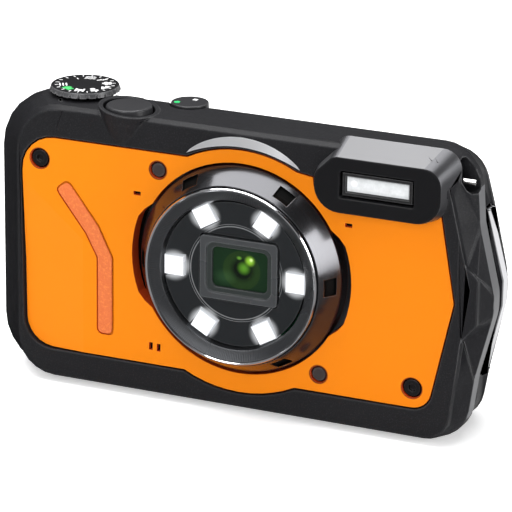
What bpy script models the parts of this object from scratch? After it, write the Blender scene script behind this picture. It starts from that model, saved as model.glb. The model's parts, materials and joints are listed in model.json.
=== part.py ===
"""Rugged compact camera with a ring light round its lens, as an assembly of separate pieces.

Sizes are millimetres. +X is to the right of someone facing the lens, +Y runs from the lens to the
monitor and +Z is up. Depths are measured from the face of the coloured front panel, and the whole
camera is then moved so that the origin is at the middle of its base.
"""
import math

import bmesh
import bpy
from mathutils import Matrix, Vector

MM = 0.001

# Overall sizes
WIDTH = 118.2
LENS_FRONT = -6.0
BACK = 27.1
DEPTH_SHIFT = -(LENS_FRONT + BACK) / 2
SIDE = WIDTH / 2
TOP = 65.2

# Gap left between two pieces that touch in the real camera
GAP = 0.3

# Shells
SHELL_FACE = -0.3
PARTING = 12.5
REAR_FACE = 26.6
REAR_WALL = 1.6
ARC_STEPS = 6

# Lens
LENS_X = 2.6
LENS_Z = 33.6
LENS_SEGMENTS = 48
HOLE_RADIUS = 24.2
LOBE_RADIUS = 25.9
LOBE_ANGLE = 23.0
LED_CIRCLE = 14.3
LED_SIZE = 4.6
LED_COUNT = 6

# Controls
DIAL_X, DIAL_Y, DIAL_RADIUS, DIAL_TOP = -40.1, 11.5, 7.95, 67.2
DIAL_TEETH = 24
SHUTTER_X, SHUTTER_Y, SHUTTER_RADIUS, SHUTTER_TOP = -25.6, 3.4, 5.3, 66.5
POWER_X, POWER_Y, POWER_RADIUS, POWER_TOP = -15.6, 13.6, 4.2, 65.7
PAD_X, PAD_Z = -35.0, 27.5
ROCKER_X, ROCKER_Z = -38.0, 53.0

# Side door and its hinge
DOOR_BOTTOM, DOOR_TOP = 12.0, 50.0
DOOR_REAR = 22.0
HINGE_X, HINGE_Y = -58.0, 9.5
DOOR_THICK = 2.0

for old in list(bpy.data.objects):
    bpy.data.objects.remove(old, do_unlink=True)

camera_parts = bpy.data.collections.new("compact_camera")
cutters = bpy.data.collections.new("cutters")
bpy.context.scene.collection.children.link(camera_parts)
bpy.context.scene.collection.children.link(cutters)


def make_material(name, colour, roughness, metallic=0.0):
    """A Principled material of one colour."""
    material = bpy.data.materials.new(name)
    material.use_nodes = True
    shader = material.node_tree.nodes["Principled BSDF"]
    shader.inputs["Base Color"].default_value = (*colour, 1.0)
    shader.inputs["Roughness"].default_value = roughness
    shader.inputs["Metallic"].default_value = metallic
    return material


def add_piece(name, bm, colour, roughness=0.5, metallic=0.0, pivot=(0, 0, 0), smooth=False):
    """Turn a bmesh drawn in millimetres into a named piece whose origin is at pivot."""
    bmesh.ops.recalc_face_normals(bm, faces=bm.faces)
    bmesh.ops.translate(bm, verts=bm.verts, vec=-Vector(pivot))
    bmesh.ops.scale(bm, verts=bm.verts, vec=(MM, MM, MM))
    mesh = bpy.data.meshes.new(name)
    bm.to_mesh(mesh)
    bm.free()
    if smooth:
        mesh.shade_smooth()
        mesh.set_sharp_from_angle(angle=math.radians(35))
    mesh.materials.append(make_material(name, colour, roughness, metallic))
    piece = bpy.data.objects.new(name, mesh)
    piece.location = Vector((pivot[0], pivot[1] + DEPTH_SHIFT, pivot[2])) * MM
    camera_parts.objects.link(piece)
    return piece


def combine(piece, bm, operation):
    """Cut a bmesh out of a piece, or join it on."""
    tool = add_piece(f"{piece.name}_{operation.lower()}_{len(piece.modifiers)}", bm, (1, 0, 0))
    camera_parts.objects.unlink(tool)
    cutters.objects.link(tool)
    tool.hide_render = True
    tool.display_type = "WIRE"
    modifier = piece.modifiers.new(operation.title(), "BOOLEAN")
    modifier.operation = operation
    modifier.object = tool
    if piece.name.endswith("_shell"):
        # The long chain of cuts in the shells defeats the exact solver
        modifier.solver = "MANIFOLD"


def cut(piece, bm):
    combine(piece, bm, "DIFFERENCE")


def join(piece, bm):
    combine(piece, bm, "UNION")


def block(x, y, z):
    """A box between two corners, given as (low, high) along each axis."""
    bm = bmesh.new()
    bmesh.ops.create_cube(bm, size=1.0)
    size = [high - low for low, high in (x, y, z)]
    middle = [(high + low) / 2 for low, high in (x, y, z)]
    bmesh.ops.scale(bm, verts=bm.verts, vec=size)
    bmesh.ops.translate(bm, verts=bm.verts, vec=middle)
    return bm


def rod(start, end, radius, end_radius=None, segments=24):
    """A cylinder, or a cone, from one point to another."""
    bm = bmesh.new()
    axis = Vector(end) - Vector(start)
    turn = Vector((0, 0, 1)).rotation_difference(axis).to_matrix().to_4x4()
    place = Matrix.Translation((Vector(start) + Vector(end)) / 2) @ turn
    bmesh.ops.create_cone(bm, cap_ends=True, segments=segments, radius1=radius,
                          radius2=radius if end_radius is None else end_radius,
                          depth=axis.length, matrix=place)
    return bm


def fillet(before, corner, after, radius, steps=ARC_STEPS):
    """The arc that rounds one corner of an outline."""
    corner = Vector(corner)
    inward = (Vector(before) - corner).normalized()
    outward = (Vector(after) - corner).normalized()
    half = inward.angle(outward) / 2
    centre = corner + (inward + outward).normalized() * radius / math.sin(half)
    first = (corner + inward * radius / math.tan(half) - centre).normalized()
    last = (corner + outward * radius / math.tan(half) - centre).normalized()
    return [centre + first.slerp(last, step / steps) * radius for step in range(steps + 1)]


def rounded(corners, steps=ARC_STEPS):
    """An outline through (x, z, radius) corners, each rounded by an arc."""
    points = []
    for index, (x, z, radius) in enumerate(corners):
        before = corners[index - 1][:2]
        after = corners[(index + 1) % len(corners)][:2]
        points += fillet(before, (x, z), after, radius, steps)
    return points


def grown(points, distance):
    """The same outline, moved outwards by a distance; the outline runs anticlockwise."""
    moved = []
    for index, point in enumerate(points):
        arriving = (point - points[index - 1]).normalized()
        leaving = (points[(index + 1) % len(points)] - point).normalized()
        outward = Vector((arriving.y + leaving.y, -arriving.x - leaving.x)).normalized()
        squeeze = max(outward.dot(Vector((leaving.y, -leaving.x))), 0.4)
        moved.append(point + outward * distance / squeeze)
    return moved


def loft(sections):
    """A solid through outlines of equal length, given as (depth, points)."""
    bm = bmesh.new()
    rings = [[bm.verts.new((p.x, depth, p.y)) for p in points] for depth, points in sections]
    for near, far in zip(rings, rings[1:]):
        for index in range(len(near)):
            following = (index + 1) % len(near)
            bm.faces.new((near[index], near[following], far[following], far[index]))
    bm.faces.new(rings[0])
    bm.faces.new(rings[-1])
    return bm


def plate(points, front, back):
    """A flat piece of one outline between two depths."""
    return loft([(front, points), (back, points)])


def box_outline(x, z, radius):
    """A rectangle with rounded corners, given as (low, high) along X and Z."""
    return rounded([(x[0], z[0], radius), (x[1], z[0], radius), (x[1], z[1], radius), (x[0], z[1], radius)])


def turned(profile, centre, segments=LENS_SEGMENTS):
    """A closed profile of (radius, depth) points spun round the line of the lens."""
    bm = bmesh.new()
    verts = [bm.verts.new((centre[0] + radius, depth, centre[1])) for radius, depth in profile]
    edges = [bm.edges.new((a, b)) for a, b in zip(verts, verts[1:] + verts[:1])]
    bmesh.ops.spin(bm, geom=verts + edges, cent=(centre[0], 0, centre[1]), axis=(0, 1, 0),
                   angle=math.tau, steps=segments, use_merge=True)
    bmesh.ops.remove_doubles(bm, verts=bm.verts, dist=0.0001)
    return bm


def lens_hole(radius, lobe_radius):
    """The round opening for the lens, with a shallow lobe on its left and on its right."""
    points = []
    for index in range(72):
        angle = math.tau * index / 72
        from_side = abs(math.degrees(math.asin(math.sin(angle))))
        blend = min(max((LOBE_ANGLE + 5 - from_side) / 5, 0), 1)
        reach = radius + (lobe_radius - radius) * blend
        points.append(Vector((LENS_X + reach * math.cos(angle), LENS_Z + reach * math.sin(angle))))
    return points


def arc(centre, radius, start, end, steps):
    """Points on part of a circle, between two angles in degrees."""
    angles = [math.radians(start + (end - start) * step / steps) for step in range(steps + 1)]
    return [Vector((centre[0] + radius * math.cos(a), centre[1] + radius * math.sin(a))) for a in angles]


# ---- Body shells ----
def body_outline(left, base, top, right, radii):
    """The camera's outline; right holds the six (x, z) corners of its stepped right side."""
    base_right, low_in, low_out, high_out, high_in, top_right = right
    base_left_r, right_r, step_r, top_left_r = radii
    return rounded([
        (left, base, base_left_r), (base_right, base, right_r), (*low_in, step_r), (*low_out, step_r),
        (*high_out, step_r), (*high_in, step_r), (top_right, top, right_r), (left, top, top_left_r)])


FACE_RIGHT = (51.2, (53.9, 25.0), (57.2, 29.0), (57.2, 39.4), (54.2, 42.2), 48.7)
SIDE_RIGHT = (53.4, (55.4, 15.0), (SIDE, 30.0), (SIDE, 34.5), (55.4, 49.5), 54.2)
GROOVE_RIGHT = (52.8, (54.2, 15.0), (57.2, 30.0), (57.2, 34.5), (53.9, 49.5), 51.4)
RIM_RIGHT = (52.8, (54.8, 13.0), (58.2, 29.5), (58.2, 35.0), (54.4, 50.5), 51.0)
BACK_RIGHT = (51.0, (53.2, 14.0), (56.2, 29.5), (56.2, 35.0), (52.8, 49.5), 49.6)
REAR_RIGHT = (48.6, (50.8, 15.0), (53.4, 29.5), (53.4, 35.0), (50.8, 47.5), 47.4)
CRISP = (9, 6, 1.5, 11)
BROAD = (12, 8, 12, 13)

front_sections = [
    (SHELL_FACE, body_outline(-51.3, 1.8, 64.4, FACE_RIGHT, CRISP)),
    (1.0, body_outline(-52.2, 1.0, TOP - 0.1, FACE_RIGHT, CRISP)),
    (5.2, body_outline(-56.5, 0.2, TOP, SIDE_RIGHT, BROAD)),
    (7.0, body_outline(-58.3, 0.0, TOP, SIDE_RIGHT, BROAD)),
    (9.2, body_outline(-SIDE, 0.0, TOP, SIDE_RIGHT, BROAD)),
    (10.0, body_outline(-SIDE, 0.0, TOP, GROOVE_RIGHT, BROAD)),
    (PARTING - GAP / 2, body_outline(-SIDE, 0.0, TOP, GROOVE_RIGHT, BROAD)),
]
rear_sections = [
    (PARTING + GAP / 2, body_outline(-SIDE, 0.0, TOP, GROOVE_RIGHT, BROAD)),
    (16.6, body_outline(-SIDE, 0.0, 63.3, GROOVE_RIGHT, BROAD)),
    (17.2, body_outline(-SIDE, 0.2, 63.0, RIM_RIGHT, BROAD)),
    (22.4, body_outline(-SIDE + 0.2, 0.8, 61.2, BACK_RIGHT, BROAD)),
    (REAR_FACE, body_outline(-55.6, 3.0, 58.6, REAR_RIGHT, BROAD)),
]


def cavity_outline(left, base, top, right):
    """The hollow inside the shells, a plain outline with a slanted right side."""
    return rounded([(left, base, 6), (right - 3, base, 5), (right, 24, 3), (right, 42, 3),
                    (right - 5.4, top, 5), (left, top, 8)])


front_shell = add_piece("front_shell", loft(front_sections), (0.035, 0.036, 0.04), 0.6)
rear_shell = add_piece("rear_shell", loft(rear_sections), (0.035, 0.036, 0.04), 0.6)

# Hood of the flash, a long rounded box that leans out of the front of the shell
HOOD_FACE = -2.6
hood_base = rounded([
    (19.6, 50.4, 6.2), (51.6, 50.4, 6.2), (51.6, 65.6, 5), (25.2, 65.6, 5), (19.6, 60.0, 4)])
hood_face = rounded([
    (20.4, 50.8, 6.0), (49.0, 50.8, 6.0), (49.0, 62.4, 5), (24.6, 62.4, 4), (20.4, 58.4, 4)])
join(front_shell, loft([(HOOD_FACE, hood_face), (3.0, hood_base)]))

# Collar of the shutter button, a tapering tower that bulges from the top front edge
join(front_shell, rod((-26.6, 3.6, 57.5), (SHUTTER_X, SHUTTER_Y, TOP + 0.8), 3.4, 6.9, 32))

# Hollow of each shell
cut(front_shell, loft([
    (3.0, cavity_outline(-50.6, 3.6, 61.6, 51.4)),
    (7.6, cavity_outline(-55.6, 2.6, 62.6, 52.6)),
    (PARTING + 1, cavity_outline(-56.4, 2.4, 62.8, 53.2))]))
cut(rear_shell, loft([
    (PARTING - 1, cavity_outline(-56.4, 2.4, 62.8, 53.2)),
    (17.0, cavity_outline(-56.4, 2.4, 61.4, 53.2)),
    (REAR_FACE - REAR_WALL, cavity_outline(-54.0, 4.2, 58.0, 51.0))]))

# ---- Front panel and what is fixed to it ----
PANEL_THICK = 1.0
PANEL_ARC_TOP = 27.2
PANEL_ARC_BASE = 28.7


def panel_outline():
    """The panel's edge: straight runs, two bulges round the lens and a cut for the flash hood."""
    base_left, base_right, waist = (-49.6, 8.1), (46.6, 8.1), (51.9, 33.2)
    top_right, top_left = (47.5, 53.0), (-50.2, 57.6)
    base_half = math.degrees(math.acos((LENS_Z - base_left[1]) / PANEL_ARC_BASE))
    top_half = math.degrees(math.acos((top_left[1] - LENS_Z) / PANEL_ARC_TOP))
    lens = (LENS_X, LENS_Z)
    points = fillet(top_left, base_left, base_right, 6.5)
    points += arc(lens, PANEL_ARC_BASE, 270 - base_half, 270 + base_half, 10)
    points += fillet(base_left, base_right, waist, 4.5)
    points += fillet(base_right, waist, top_right, 3.0)
    points += arc((43.0, 56.6), 6.4, -34, -90, 4) + arc((26.0, 56.8), 6.8, 270, 178, 6)
    points += arc(lens, PANEL_ARC_TOP, 90 - top_half, 90 + top_half, 10)
    points += fillet((LENS_X, top_left[1]), top_left, base_left, 8.0)
    return points


PANEL_EDGE = panel_outline()
PANEL_FLANGE = 3.4
SCREWS = {"upper": (-45.8, 52.4), "lower": (43.0, 12.6)}
SMALL_WINDOWS = {"focus_lamp_window": (-17.1, 53.6), "remote_window": (21.4, 12.2)}
SOUND_SLOTS = [(-22.1, 47.6, 1.6, 0.8), (27.6, 47.4, 1.6, 0.8),
               (-18.7, 12.3, 0.8, 1.7), (-16.8, 12.2, 0.8, 1.7)]

flange_edge = lens_hole(HOLE_RADIUS + 1.2, LOBE_RADIUS + 1.2)
front_panel = add_piece("front_panel", plate(PANEL_EDGE, 0.0, PANEL_THICK), (0.95, 0.3, 0.01), 0.4)
join(front_panel, plate(flange_edge, 0.5, PANEL_FLANGE))
cut(front_panel, plate(lens_hole(HOLE_RADIUS, LOBE_RADIUS), -1, 5))
cut(front_shell, plate(grown(PANEL_EDGE, GAP), -4, PANEL_THICK + GAP))
cut(front_shell, plate(lens_hole(HOLE_RADIUS + 1.5, LOBE_RADIUS + 1.5), -1, 5))

for name, (x, z) in SCREWS.items():
    cut(front_panel, rod((x, -1, z), (x, 3, z), 2.3))
    cut(front_shell, rod((x, 0.5, z), (x, 5, z), 1.4))
    screw = add_piece(f"panel_screw_{name}", rod((x, 0.3, z), (x, 1.2, z), 1.9),
                      (0.2, 0.2, 0.22), 0.35, 1.0)
    join(screw, rod((x, 1.0, z), (x, 4.6, z), 1.1, segments=16))
    cut(screw, rod((x, 0.0, z), (x, 1.0, z), 0.9, segments=6))
for name, (x, z) in SMALL_WINDOWS.items():
    cut(front_panel, rod((x, -1, z), (x, 3, z), 1.9))
    cut(front_shell, rod((x, 0.5, z), (x, 5, z), 1.4))
    window = add_piece(name, rod((x, 0.2, z), (x, 1.2, z), 1.6), (0.12, 0.12, 0.13), 0.2)
    join(window, rod((x, 1.0, z), (x, 3.2, z), 1.1, segments=16))
for x, z, wide, high in SOUND_SLOTS:
    cut(front_panel, block((x - wide / 2, x + wide / 2), (-1, 3), (z - high / 2, z + high / 2)))

# Grip strip: a band of grained rubber that bends once, set in a channel of the panel
STRIP_PATH = [(-40.3, 47.0), (-33.0, 37.6), (-29.9, 31.5), (-29.9, 13.6)]
STRIP_WIDE = 3.5


def band_outline(path, width, radius, margin=0.0):
    """A band of one width along a path; the margin is added all round it."""
    lefts, rights = [], []
    for index, point in enumerate(path):
        before = Vector(path[max(index - 1, 0)])
        after = Vector(path[min(index + 1, len(path) - 1)])
        along = (after - before).normalized()
        end = (index == len(path) - 1) - (index == 0)
        side = Vector((-along.y, along.x)) * (width / 2 + margin)
        middle = Vector(point) + along * margin * end
        lefts.append(middle + side)
        rights.append(middle - side)
    return rounded([(*point, radius) for point in rights + lefts[::-1]], 3)


cut(front_panel, plate(band_outline(STRIP_PATH, STRIP_WIDE, 1.2, GAP), -1, 0.5))
add_piece("grip_strip", plate(band_outline(STRIP_PATH, STRIP_WIDE, 1.2), -0.2, 0.5 - GAP / 2),
          (0.85, 0.18, 0.05), 0.8)

# ---- Lens, ring light and window ----
lens_line = (LENS_X, LENS_Z)
lens_base = add_piece("lens_ring_base", turned(
    [(18.0, -3.4), (20.5, -5.0), (23.7, 0.0), (23.7, 3.7), (25.3, 3.7), (25.3, 4.8), (18.0, 4.8)],
    lens_line), (0.03, 0.03, 0.035), 0.25, smooth=True)
for index in range(6):
    angle = math.radians(60 * index)
    spot = Vector((LENS_X + 22.0 * math.cos(angle), 0, LENS_Z + 22.0 * math.sin(angle)))
    notch = block((-1.1, 1.1), (-5, -1.2), (-2.1, 2.1))
    bmesh.ops.rotate(notch, verts=notch.verts, matrix=Matrix.Rotation(-angle, 3, "Y"))
    bmesh.ops.translate(notch, verts=notch.verts, vec=spot)
    cut(lens_base, notch)
add_piece("lens_rim", turned([(18.9, -5.3), (19.3, LENS_FRONT + 0.1), (19.7, LENS_FRONT),
                              (20.1, -5.8), (20.1, -5.3)], lens_line),
          (0.8, 0.8, 0.82), 0.12, 1.0, smooth=True)
add_piece("lens_barrel", turned([(16.9, -2.2), (17.1, -4.6), (18.5, -5.6), (18.5, -4.3),
                                 (17.6, -3.6), (17.6, -2.2)], lens_line),
          (0.05, 0.05, 0.055), 0.4, smooth=True)
bowl = add_piece("ring_light_bowl", turned([(16.5, -3.5), (16.5, -1.6), (1.0, -1.6), (1.0, -2.6),
                                            (11.0, -2.6)], lens_line), (0.04, 0.042, 0.046), 0.3)
WINDOW_X = (-5.6, 12.6)
WINDOW_Z = (27.2, 41.6)
cut(bowl, plate(box_outline((WINDOW_X[0] - GAP, WINDOW_X[1] + GAP),
                            (WINDOW_Z[0] - GAP, WINDOW_Z[1] + GAP), 1.2), -4, 0))
guide = add_piece("light_guide", turned([(16.3, -1.3), (16.3, -0.5), (12.3, -0.5), (12.3, -1.3)],
                                        lens_line), (0.95, 0.95, 0.95), 0.2)
for index in range(LED_COUNT):
    angle = math.radians(60 * index)
    spot = Vector((LENS_X + LED_CIRCLE * math.cos(angle), -2.0, LENS_Z + LED_CIRCLE * math.sin(angle)))
    for piece, size, operation in ((bowl, LED_SIZE + 2 * GAP, "DIFFERENCE"), (guide, LED_SIZE, "UNION")):
        half = size / 2
        front = -2.0 if operation == "DIFFERENCE" else -1.5
        tab = block((-half, half), (front, 1.1), (-half, half))
        bmesh.ops.rotate(tab, verts=tab.verts, matrix=Matrix.Rotation(-angle, 3, "Y"))
        bmesh.ops.translate(tab, verts=tab.verts, vec=spot)
        combine(piece, tab, operation)
frame = add_piece("window_frame", plate(box_outline(WINDOW_X, WINDOW_Z, 1.0), -3.2, -1.6),
                  (0.05, 0.055, 0.06), 0.3)
cut(frame, plate(box_outline((-3.4, 10.4), (29.2, 39.8), 1.2), -4, 0))
add_piece("lens_window", plate(box_outline((-3.1, 10.1), (29.5, 39.5), 1.0), -2.0, -1.0),
          (0.05, 0.09, 0.05), 0.03)

# ---- Flash ----
FLASH_X = (26.7, 42.5)
FLASH_Z = (54.7, 59.8)
cut(front_shell, block((FLASH_X[0] - 0.5, FLASH_X[1] + 0.5), (-5, 7), (FLASH_Z[0] - 0.5, FLASH_Z[1] + 0.5)))
window = add_piece("flash_window", block(FLASH_X, (-1.9, -0.9), FLASH_Z), (0.9, 0.9, 0.9), 0.1)
reflector = add_piece("flash_reflector", block((FLASH_X[0], FLASH_X[1]), (-0.6, 5.6), FLASH_Z),
                      (0.9, 0.9, 0.9), 0.1, 1.0)
cut(reflector, block((FLASH_X[0] + 0.6, FLASH_X[1] - 0.6), (-1, 4.8), (FLASH_Z[0] + 0.6, FLASH_Z[1] - 0.6)))
add_piece("flash_capacitor", rod((14.0, 11.0, 55.0), (44.0, 11.0, 55.0), 4.3), (0.02, 0.02, 0.02), 0.4)

# ---- Controls on the top ----
# Mode dial: a thin knurled knob on a neck that turns in a round well
DIAL_NECK, DIAL_WELL_FLOOR = 6.3, 61.6
dial_axis = (DIAL_X, DIAL_Y, 64.0)
well = rod((DIAL_X, DIAL_Y, DIAL_WELL_FLOOR), (DIAL_X, DIAL_Y, 70), DIAL_NECK + 0.5, segments=40)
for shell in (front_shell, rear_shell):
    cut(shell, well.copy())
well.free()
dial = add_piece("mode_dial", rod((DIAL_X, DIAL_Y, 66.0), (DIAL_X, DIAL_Y, DIAL_TOP), DIAL_RADIUS,
                                  DIAL_RADIUS - 0.4, DIAL_TEETH * 2),
                 (0.04, 0.04, 0.045), 0.5, pivot=dial_axis)
join(dial, rod((DIAL_X, DIAL_Y, 62.6), (DIAL_X, DIAL_Y, 66.4), DIAL_NECK, segments=40))
join(dial, rod((DIAL_X, DIAL_Y, 58.4), (DIAL_X, DIAL_Y, 63.0), 1.5, segments=16))
for index in range(DIAL_TEETH):
    angle = math.tau * index / DIAL_TEETH
    foot = Vector((DIAL_X + DIAL_RADIUS * math.cos(angle), DIAL_Y + DIAL_RADIUS * math.sin(angle), 65.5))
    cut(dial, rod(foot, foot + Vector((0, 0, 3)), 0.35, segments=6))

# Shutter button in its collar
shutter_axis = (SHUTTER_X, SHUTTER_Y, SHUTTER_TOP)
cut(front_shell, rod((SHUTTER_X, SHUTTER_Y, 63.2), (SHUTTER_X, SHUTTER_Y, 70), SHUTTER_RADIUS + 0.4,
                     segments=32))
cut(front_shell, rod((SHUTTER_X, SHUTTER_Y, 55.0), (SHUTTER_X, SHUTTER_Y, 64), 2.2, segments=16))
shutter = add_piece("shutter_button", rod((SHUTTER_X, SHUTTER_Y, 64.6), shutter_axis, SHUTTER_RADIUS,
                                          SHUTTER_RADIUS - 0.25, 32),
                    (0.06, 0.06, 0.065), 0.45, pivot=shutter_axis)
join(shutter, rod((SHUTTER_X, SHUTTER_Y, 58.9), (SHUTTER_X, SHUTTER_Y, 65), 1.5, segments=16))

# Power button
power_axis = (POWER_X, POWER_Y, POWER_TOP)
for shell in (front_shell, rear_shell):
    cut(shell, rod((POWER_X, POWER_Y, 60), (POWER_X, POWER_Y, 70), POWER_RADIUS + GAP, segments=32))
power = add_piece("power_button", rod((POWER_X, POWER_Y, 62.2), power_axis, POWER_RADIUS, segments=32),
                  (0.05, 0.05, 0.055), 0.4, pivot=power_axis)
join(power, rod((POWER_X, POWER_Y, 58.9), (POWER_X, POWER_Y, 63), 1.2, segments=16))

# Board under the top controls, with the dial's contacts and a dome switch under each button
top_board = add_piece("top_switch_board", block((-48.5, -10.8), (4.6, 19.6), (56.4, 57.4)),
                      (0.03, 0.25, 0.1), 0.5)
cut(top_board, rod((DIAL_X, DIAL_Y, 55), (DIAL_X, DIAL_Y, 60), 2.0, segments=16))
for x, y in ((SHUTTER_X, SHUTTER_Y + 2.0), (POWER_X, POWER_Y)):
    join(top_board, rod((x, y, 57.2), (x, y, 57.9), 2.0, 1.2, segments=16))

# ---- Strap eyelet: a pocket that widens outwards from the corner, with a steel bar across it ----
POCKET_FLOOR = [(49.6, 63.6), (53.2, 56.2)]
POCKET_MOUTH = [(57.0, 67.2), (60.6, 59.8)]
cut(front_shell, loft([(-3.0, band_outline(POCKET_MOUTH, 8.4, 4.1)),
                       (7.2, band_outline(POCKET_FLOOR, 5.2, 2.5))]))
BAR_START, BAR_END = Vector((51.2, 5.2, 59.2)), Vector((54.0, 5.6, 59.0))
add_piece("strap_bar", rod(BAR_START, BAR_END, 0.7, segments=16), (0.6, 0.6, 0.62), 0.2, 1.0)

# ---- Bright bar along the side ----
BAR_FRONT, BAR_BACK = PARTING + 0.7, 16.4
BAR_PATH = [(54.2, 13.4), (57.8, 29.6), (57.8, 35.0), (53.6, 50.6)]
BAR_THICK = 1.3
cut(rear_shell, plate(band_outline(BAR_PATH, BAR_THICK, 0.4, 0.4), BAR_FRONT - GAP, BAR_BACK + GAP))
add_piece("side_trim_bar", plate(band_outline(BAR_PATH, BAR_THICK, 0.4), BAR_FRONT, BAR_BACK),
          (0.85, 0.85, 0.87), 0.1, 1.0)

# ---- Side door with its hinge, seal and lock ----
for shell in (front_shell, rear_shell):
    cut(shell, block((-62, -55.0), (HINGE_Y - 1.45, DOOR_REAR + GAP), (DOOR_BOTTOM - GAP, DOOR_TOP + GAP)))
cut(front_shell, rod((HINGE_X, HINGE_Y, DOOR_BOTTOM - 1.6), (HINGE_X, HINGE_Y, DOOR_TOP + 1.6), 0.75,
                     segments=16))
hinge_line = (HINGE_X, HINGE_Y, 31.0)
door = add_piece("side_door", block((-SIDE, -SIDE + DOOR_THICK), (HINGE_Y + 0.3, DOOR_REAR),
                                    (DOOR_BOTTOM, DOOR_TOP)),
                 (0.04, 0.04, 0.045), 0.55, pivot=hinge_line)
join(door, rod((HINGE_X, HINGE_Y, 16.0), (HINGE_X, HINGE_Y, 46.0), 1.1, segments=20))
cut(door, rod((HINGE_X, HINGE_Y, 10.0), (HINGE_X, HINGE_Y, 52.0), 0.72, segments=16))
add_piece("hinge_pin", rod((HINGE_X, HINGE_Y, DOOR_BOTTOM - 1.4), (HINGE_X, HINGE_Y, DOOR_TOP + 1.4), 0.42,
                           segments=12),
          (0.7, 0.7, 0.72), 0.3, 1.0)
seal = add_piece("door_seal", block((-56.8, -56.2), (11.0, 21.5), (13.0, 49.0)), (0.5, 0.12, 0.02), 0.8,
                 pivot=hinge_line)
cut(seal, block((-58, -55), (12.2, 20.3), (14.2, 47.8)))
LOCK_Y, LOCK_Z = (15.4, 19.4), (26.0, 34.0)
LOCK_TRAVEL = 3.0
cut(door, block((-60, -SIDE + 1.2), (LOCK_Y[0] - GAP, LOCK_Y[1] + GAP),
                (LOCK_Z[0] - GAP, LOCK_Z[1] + LOCK_TRAVEL + GAP)))
add_piece("lock_slider", block((-SIDE, -SIDE + 0.9), LOCK_Y, LOCK_Z), (0.6, 0.12, 0.02), 0.5,
          pivot=(-SIDE, LOCK_Y[0], LOCK_Z[0]))

# ---- Battery side ----
bay = add_piece("battery_bay", block((-55.5, -12.0), (8.4, 21.6), (12.4, 49.6)), (0.05, 0.05, 0.055), 0.6)
cut(bay, block((-60, -13.2), (11.4, 20.6), (13.6, 48.4)))
cut(bay, block((-60, -21.0), (9.2, 11.7), (16.4, 41.6)))
add_piece("battery", block((-54.4, -13.6), (11.9, 20.2), (14.0, 48.0)), (0.03, 0.03, 0.03), 0.5)
add_piece("memory_card", block((-54.4, -22.4), (9.5, 11.5), (16.8, 40.8)), (0.02, 0.02, 0.1), 0.4)
add_piece("speaker", rod((-18.2, 3.4, 11.6), (-18.2, 5.8, 11.6), 3.4, segments=20), (0.1, 0.1, 0.1), 0.5)

# ---- Folded lens unit: prism, moving lens groups on two rods, screw, motor and sensor ----
case = add_piece("lens_unit_case", block((-7.4, 50.6), (5.2, 19.2), (23.4, 43.8)), (0.03, 0.03, 0.03), 0.6)
cut(case, block((-6.2, 49.4), (6.4, 22.0), (24.6, 42.6)))
cut(case, rod((LENS_X, 3, LENS_Z), (LENS_X, 8, LENS_Z), 6.6))
cut(case, block((49.0, 52.0), (8.4, 15.6), (28.6, 38.6)))
add_piece("objective_lens", turned([(0.0, 0.2), (2.4, 0.5), (4.6, 1.4), (5.8, 2.6), (5.8, 4.8), (0.0, 4.8)],
                                   lens_line, 32), (0.03, 0.08, 0.05), 0.03, smooth=True)
prism = add_piece("prism", block((-3.4, 8.6), (6.8, 17.6), (27.6, 39.6)), (0.8, 0.85, 0.85), 0.02)
wedge = rounded([(-9.0, 8.2, 0.01), (9.6, 19.8, 0.01), (-9.0, 19.8, 0.01)], 1)
slope = bmesh.new()
wedge_face = slope.faces.new([slope.verts.new((p.x, p.y, 25.0)) for p in wedge])
extruded = bmesh.ops.extrude_face_region(slope, geom=[wedge_face])
bmesh.ops.translate(slope, vec=(0, 0, 17),
                    verts=[v for v in extruded["geom"] if isinstance(v, bmesh.types.BMVert)])
cut(prism, slope)

ROD_Y = 8.2
for name, z in (("guide_rod_upper", 40.6), ("guide_rod_lower", 26.6)):
    add_piece(name, rod((9.8, ROD_Y, z), (49.1, ROD_Y, z), 0.7, segments=12), (0.7, 0.7, 0.72), 0.2, 1.0)
SCREW_Y, SCREW_Z = 16.6, 26.6
screw_axis = (12.0, SCREW_Y, SCREW_Z)
add_piece("lead_screw", rod((10.2, SCREW_Y, SCREW_Z), (43.4, SCREW_Y, SCREW_Z), 0.7, segments=12),
          (0.7, 0.65, 0.5), 0.3, 1.0, pivot=screw_axis)
add_piece("zoom_motor", rod((43.8, SCREW_Y, 27.2), (49.0, SCREW_Y, 27.2), 2.2, segments=20),
          (0.6, 0.6, 0.6), 0.3, 1.0)
OPTICS_Y, OPTICS_Z = 12.2, 33.6
CARRIAGE_X, CARRIAGE_LONG, ZOOM_LENS_RADIUS = 13.0, 4.0, 4.4
carriage_pivot = (CARRIAGE_X, OPTICS_Y, OPTICS_Z)
carriage = add_piece("zoom_carriage", block((CARRIAGE_X, CARRIAGE_X + CARRIAGE_LONG), (7.0, 18.2),
                                            (25.2, 42.0)),
                     (0.04, 0.04, 0.04), 0.6, pivot=carriage_pivot)
cut(carriage, rod((CARRIAGE_X - 1, OPTICS_Y, OPTICS_Z), (CARRIAGE_X + 5, OPTICS_Y, OPTICS_Z),
                  ZOOM_LENS_RADIUS + GAP))
for y, z in ((ROD_Y, 40.6), (ROD_Y, 26.6), (SCREW_Y, SCREW_Z)):
    cut(carriage, rod((CARRIAGE_X - 1, y, z), (CARRIAGE_X + 5, y, z), 0.95, segments=12))
add_piece("zoom_lens", rod((CARRIAGE_X + 1, OPTICS_Y, OPTICS_Z), (CARRIAGE_X + 3, OPTICS_Y, OPTICS_Z),
                           ZOOM_LENS_RADIUS),
          (0.7, 0.8, 0.85), 0.02, pivot=carriage_pivot)
add_piece("image_sensor", block((50.9, 51.9), (8.0, 16.0), (28.2, 39.0)), (0.1, 0.1, 0.15), 0.2)

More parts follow.
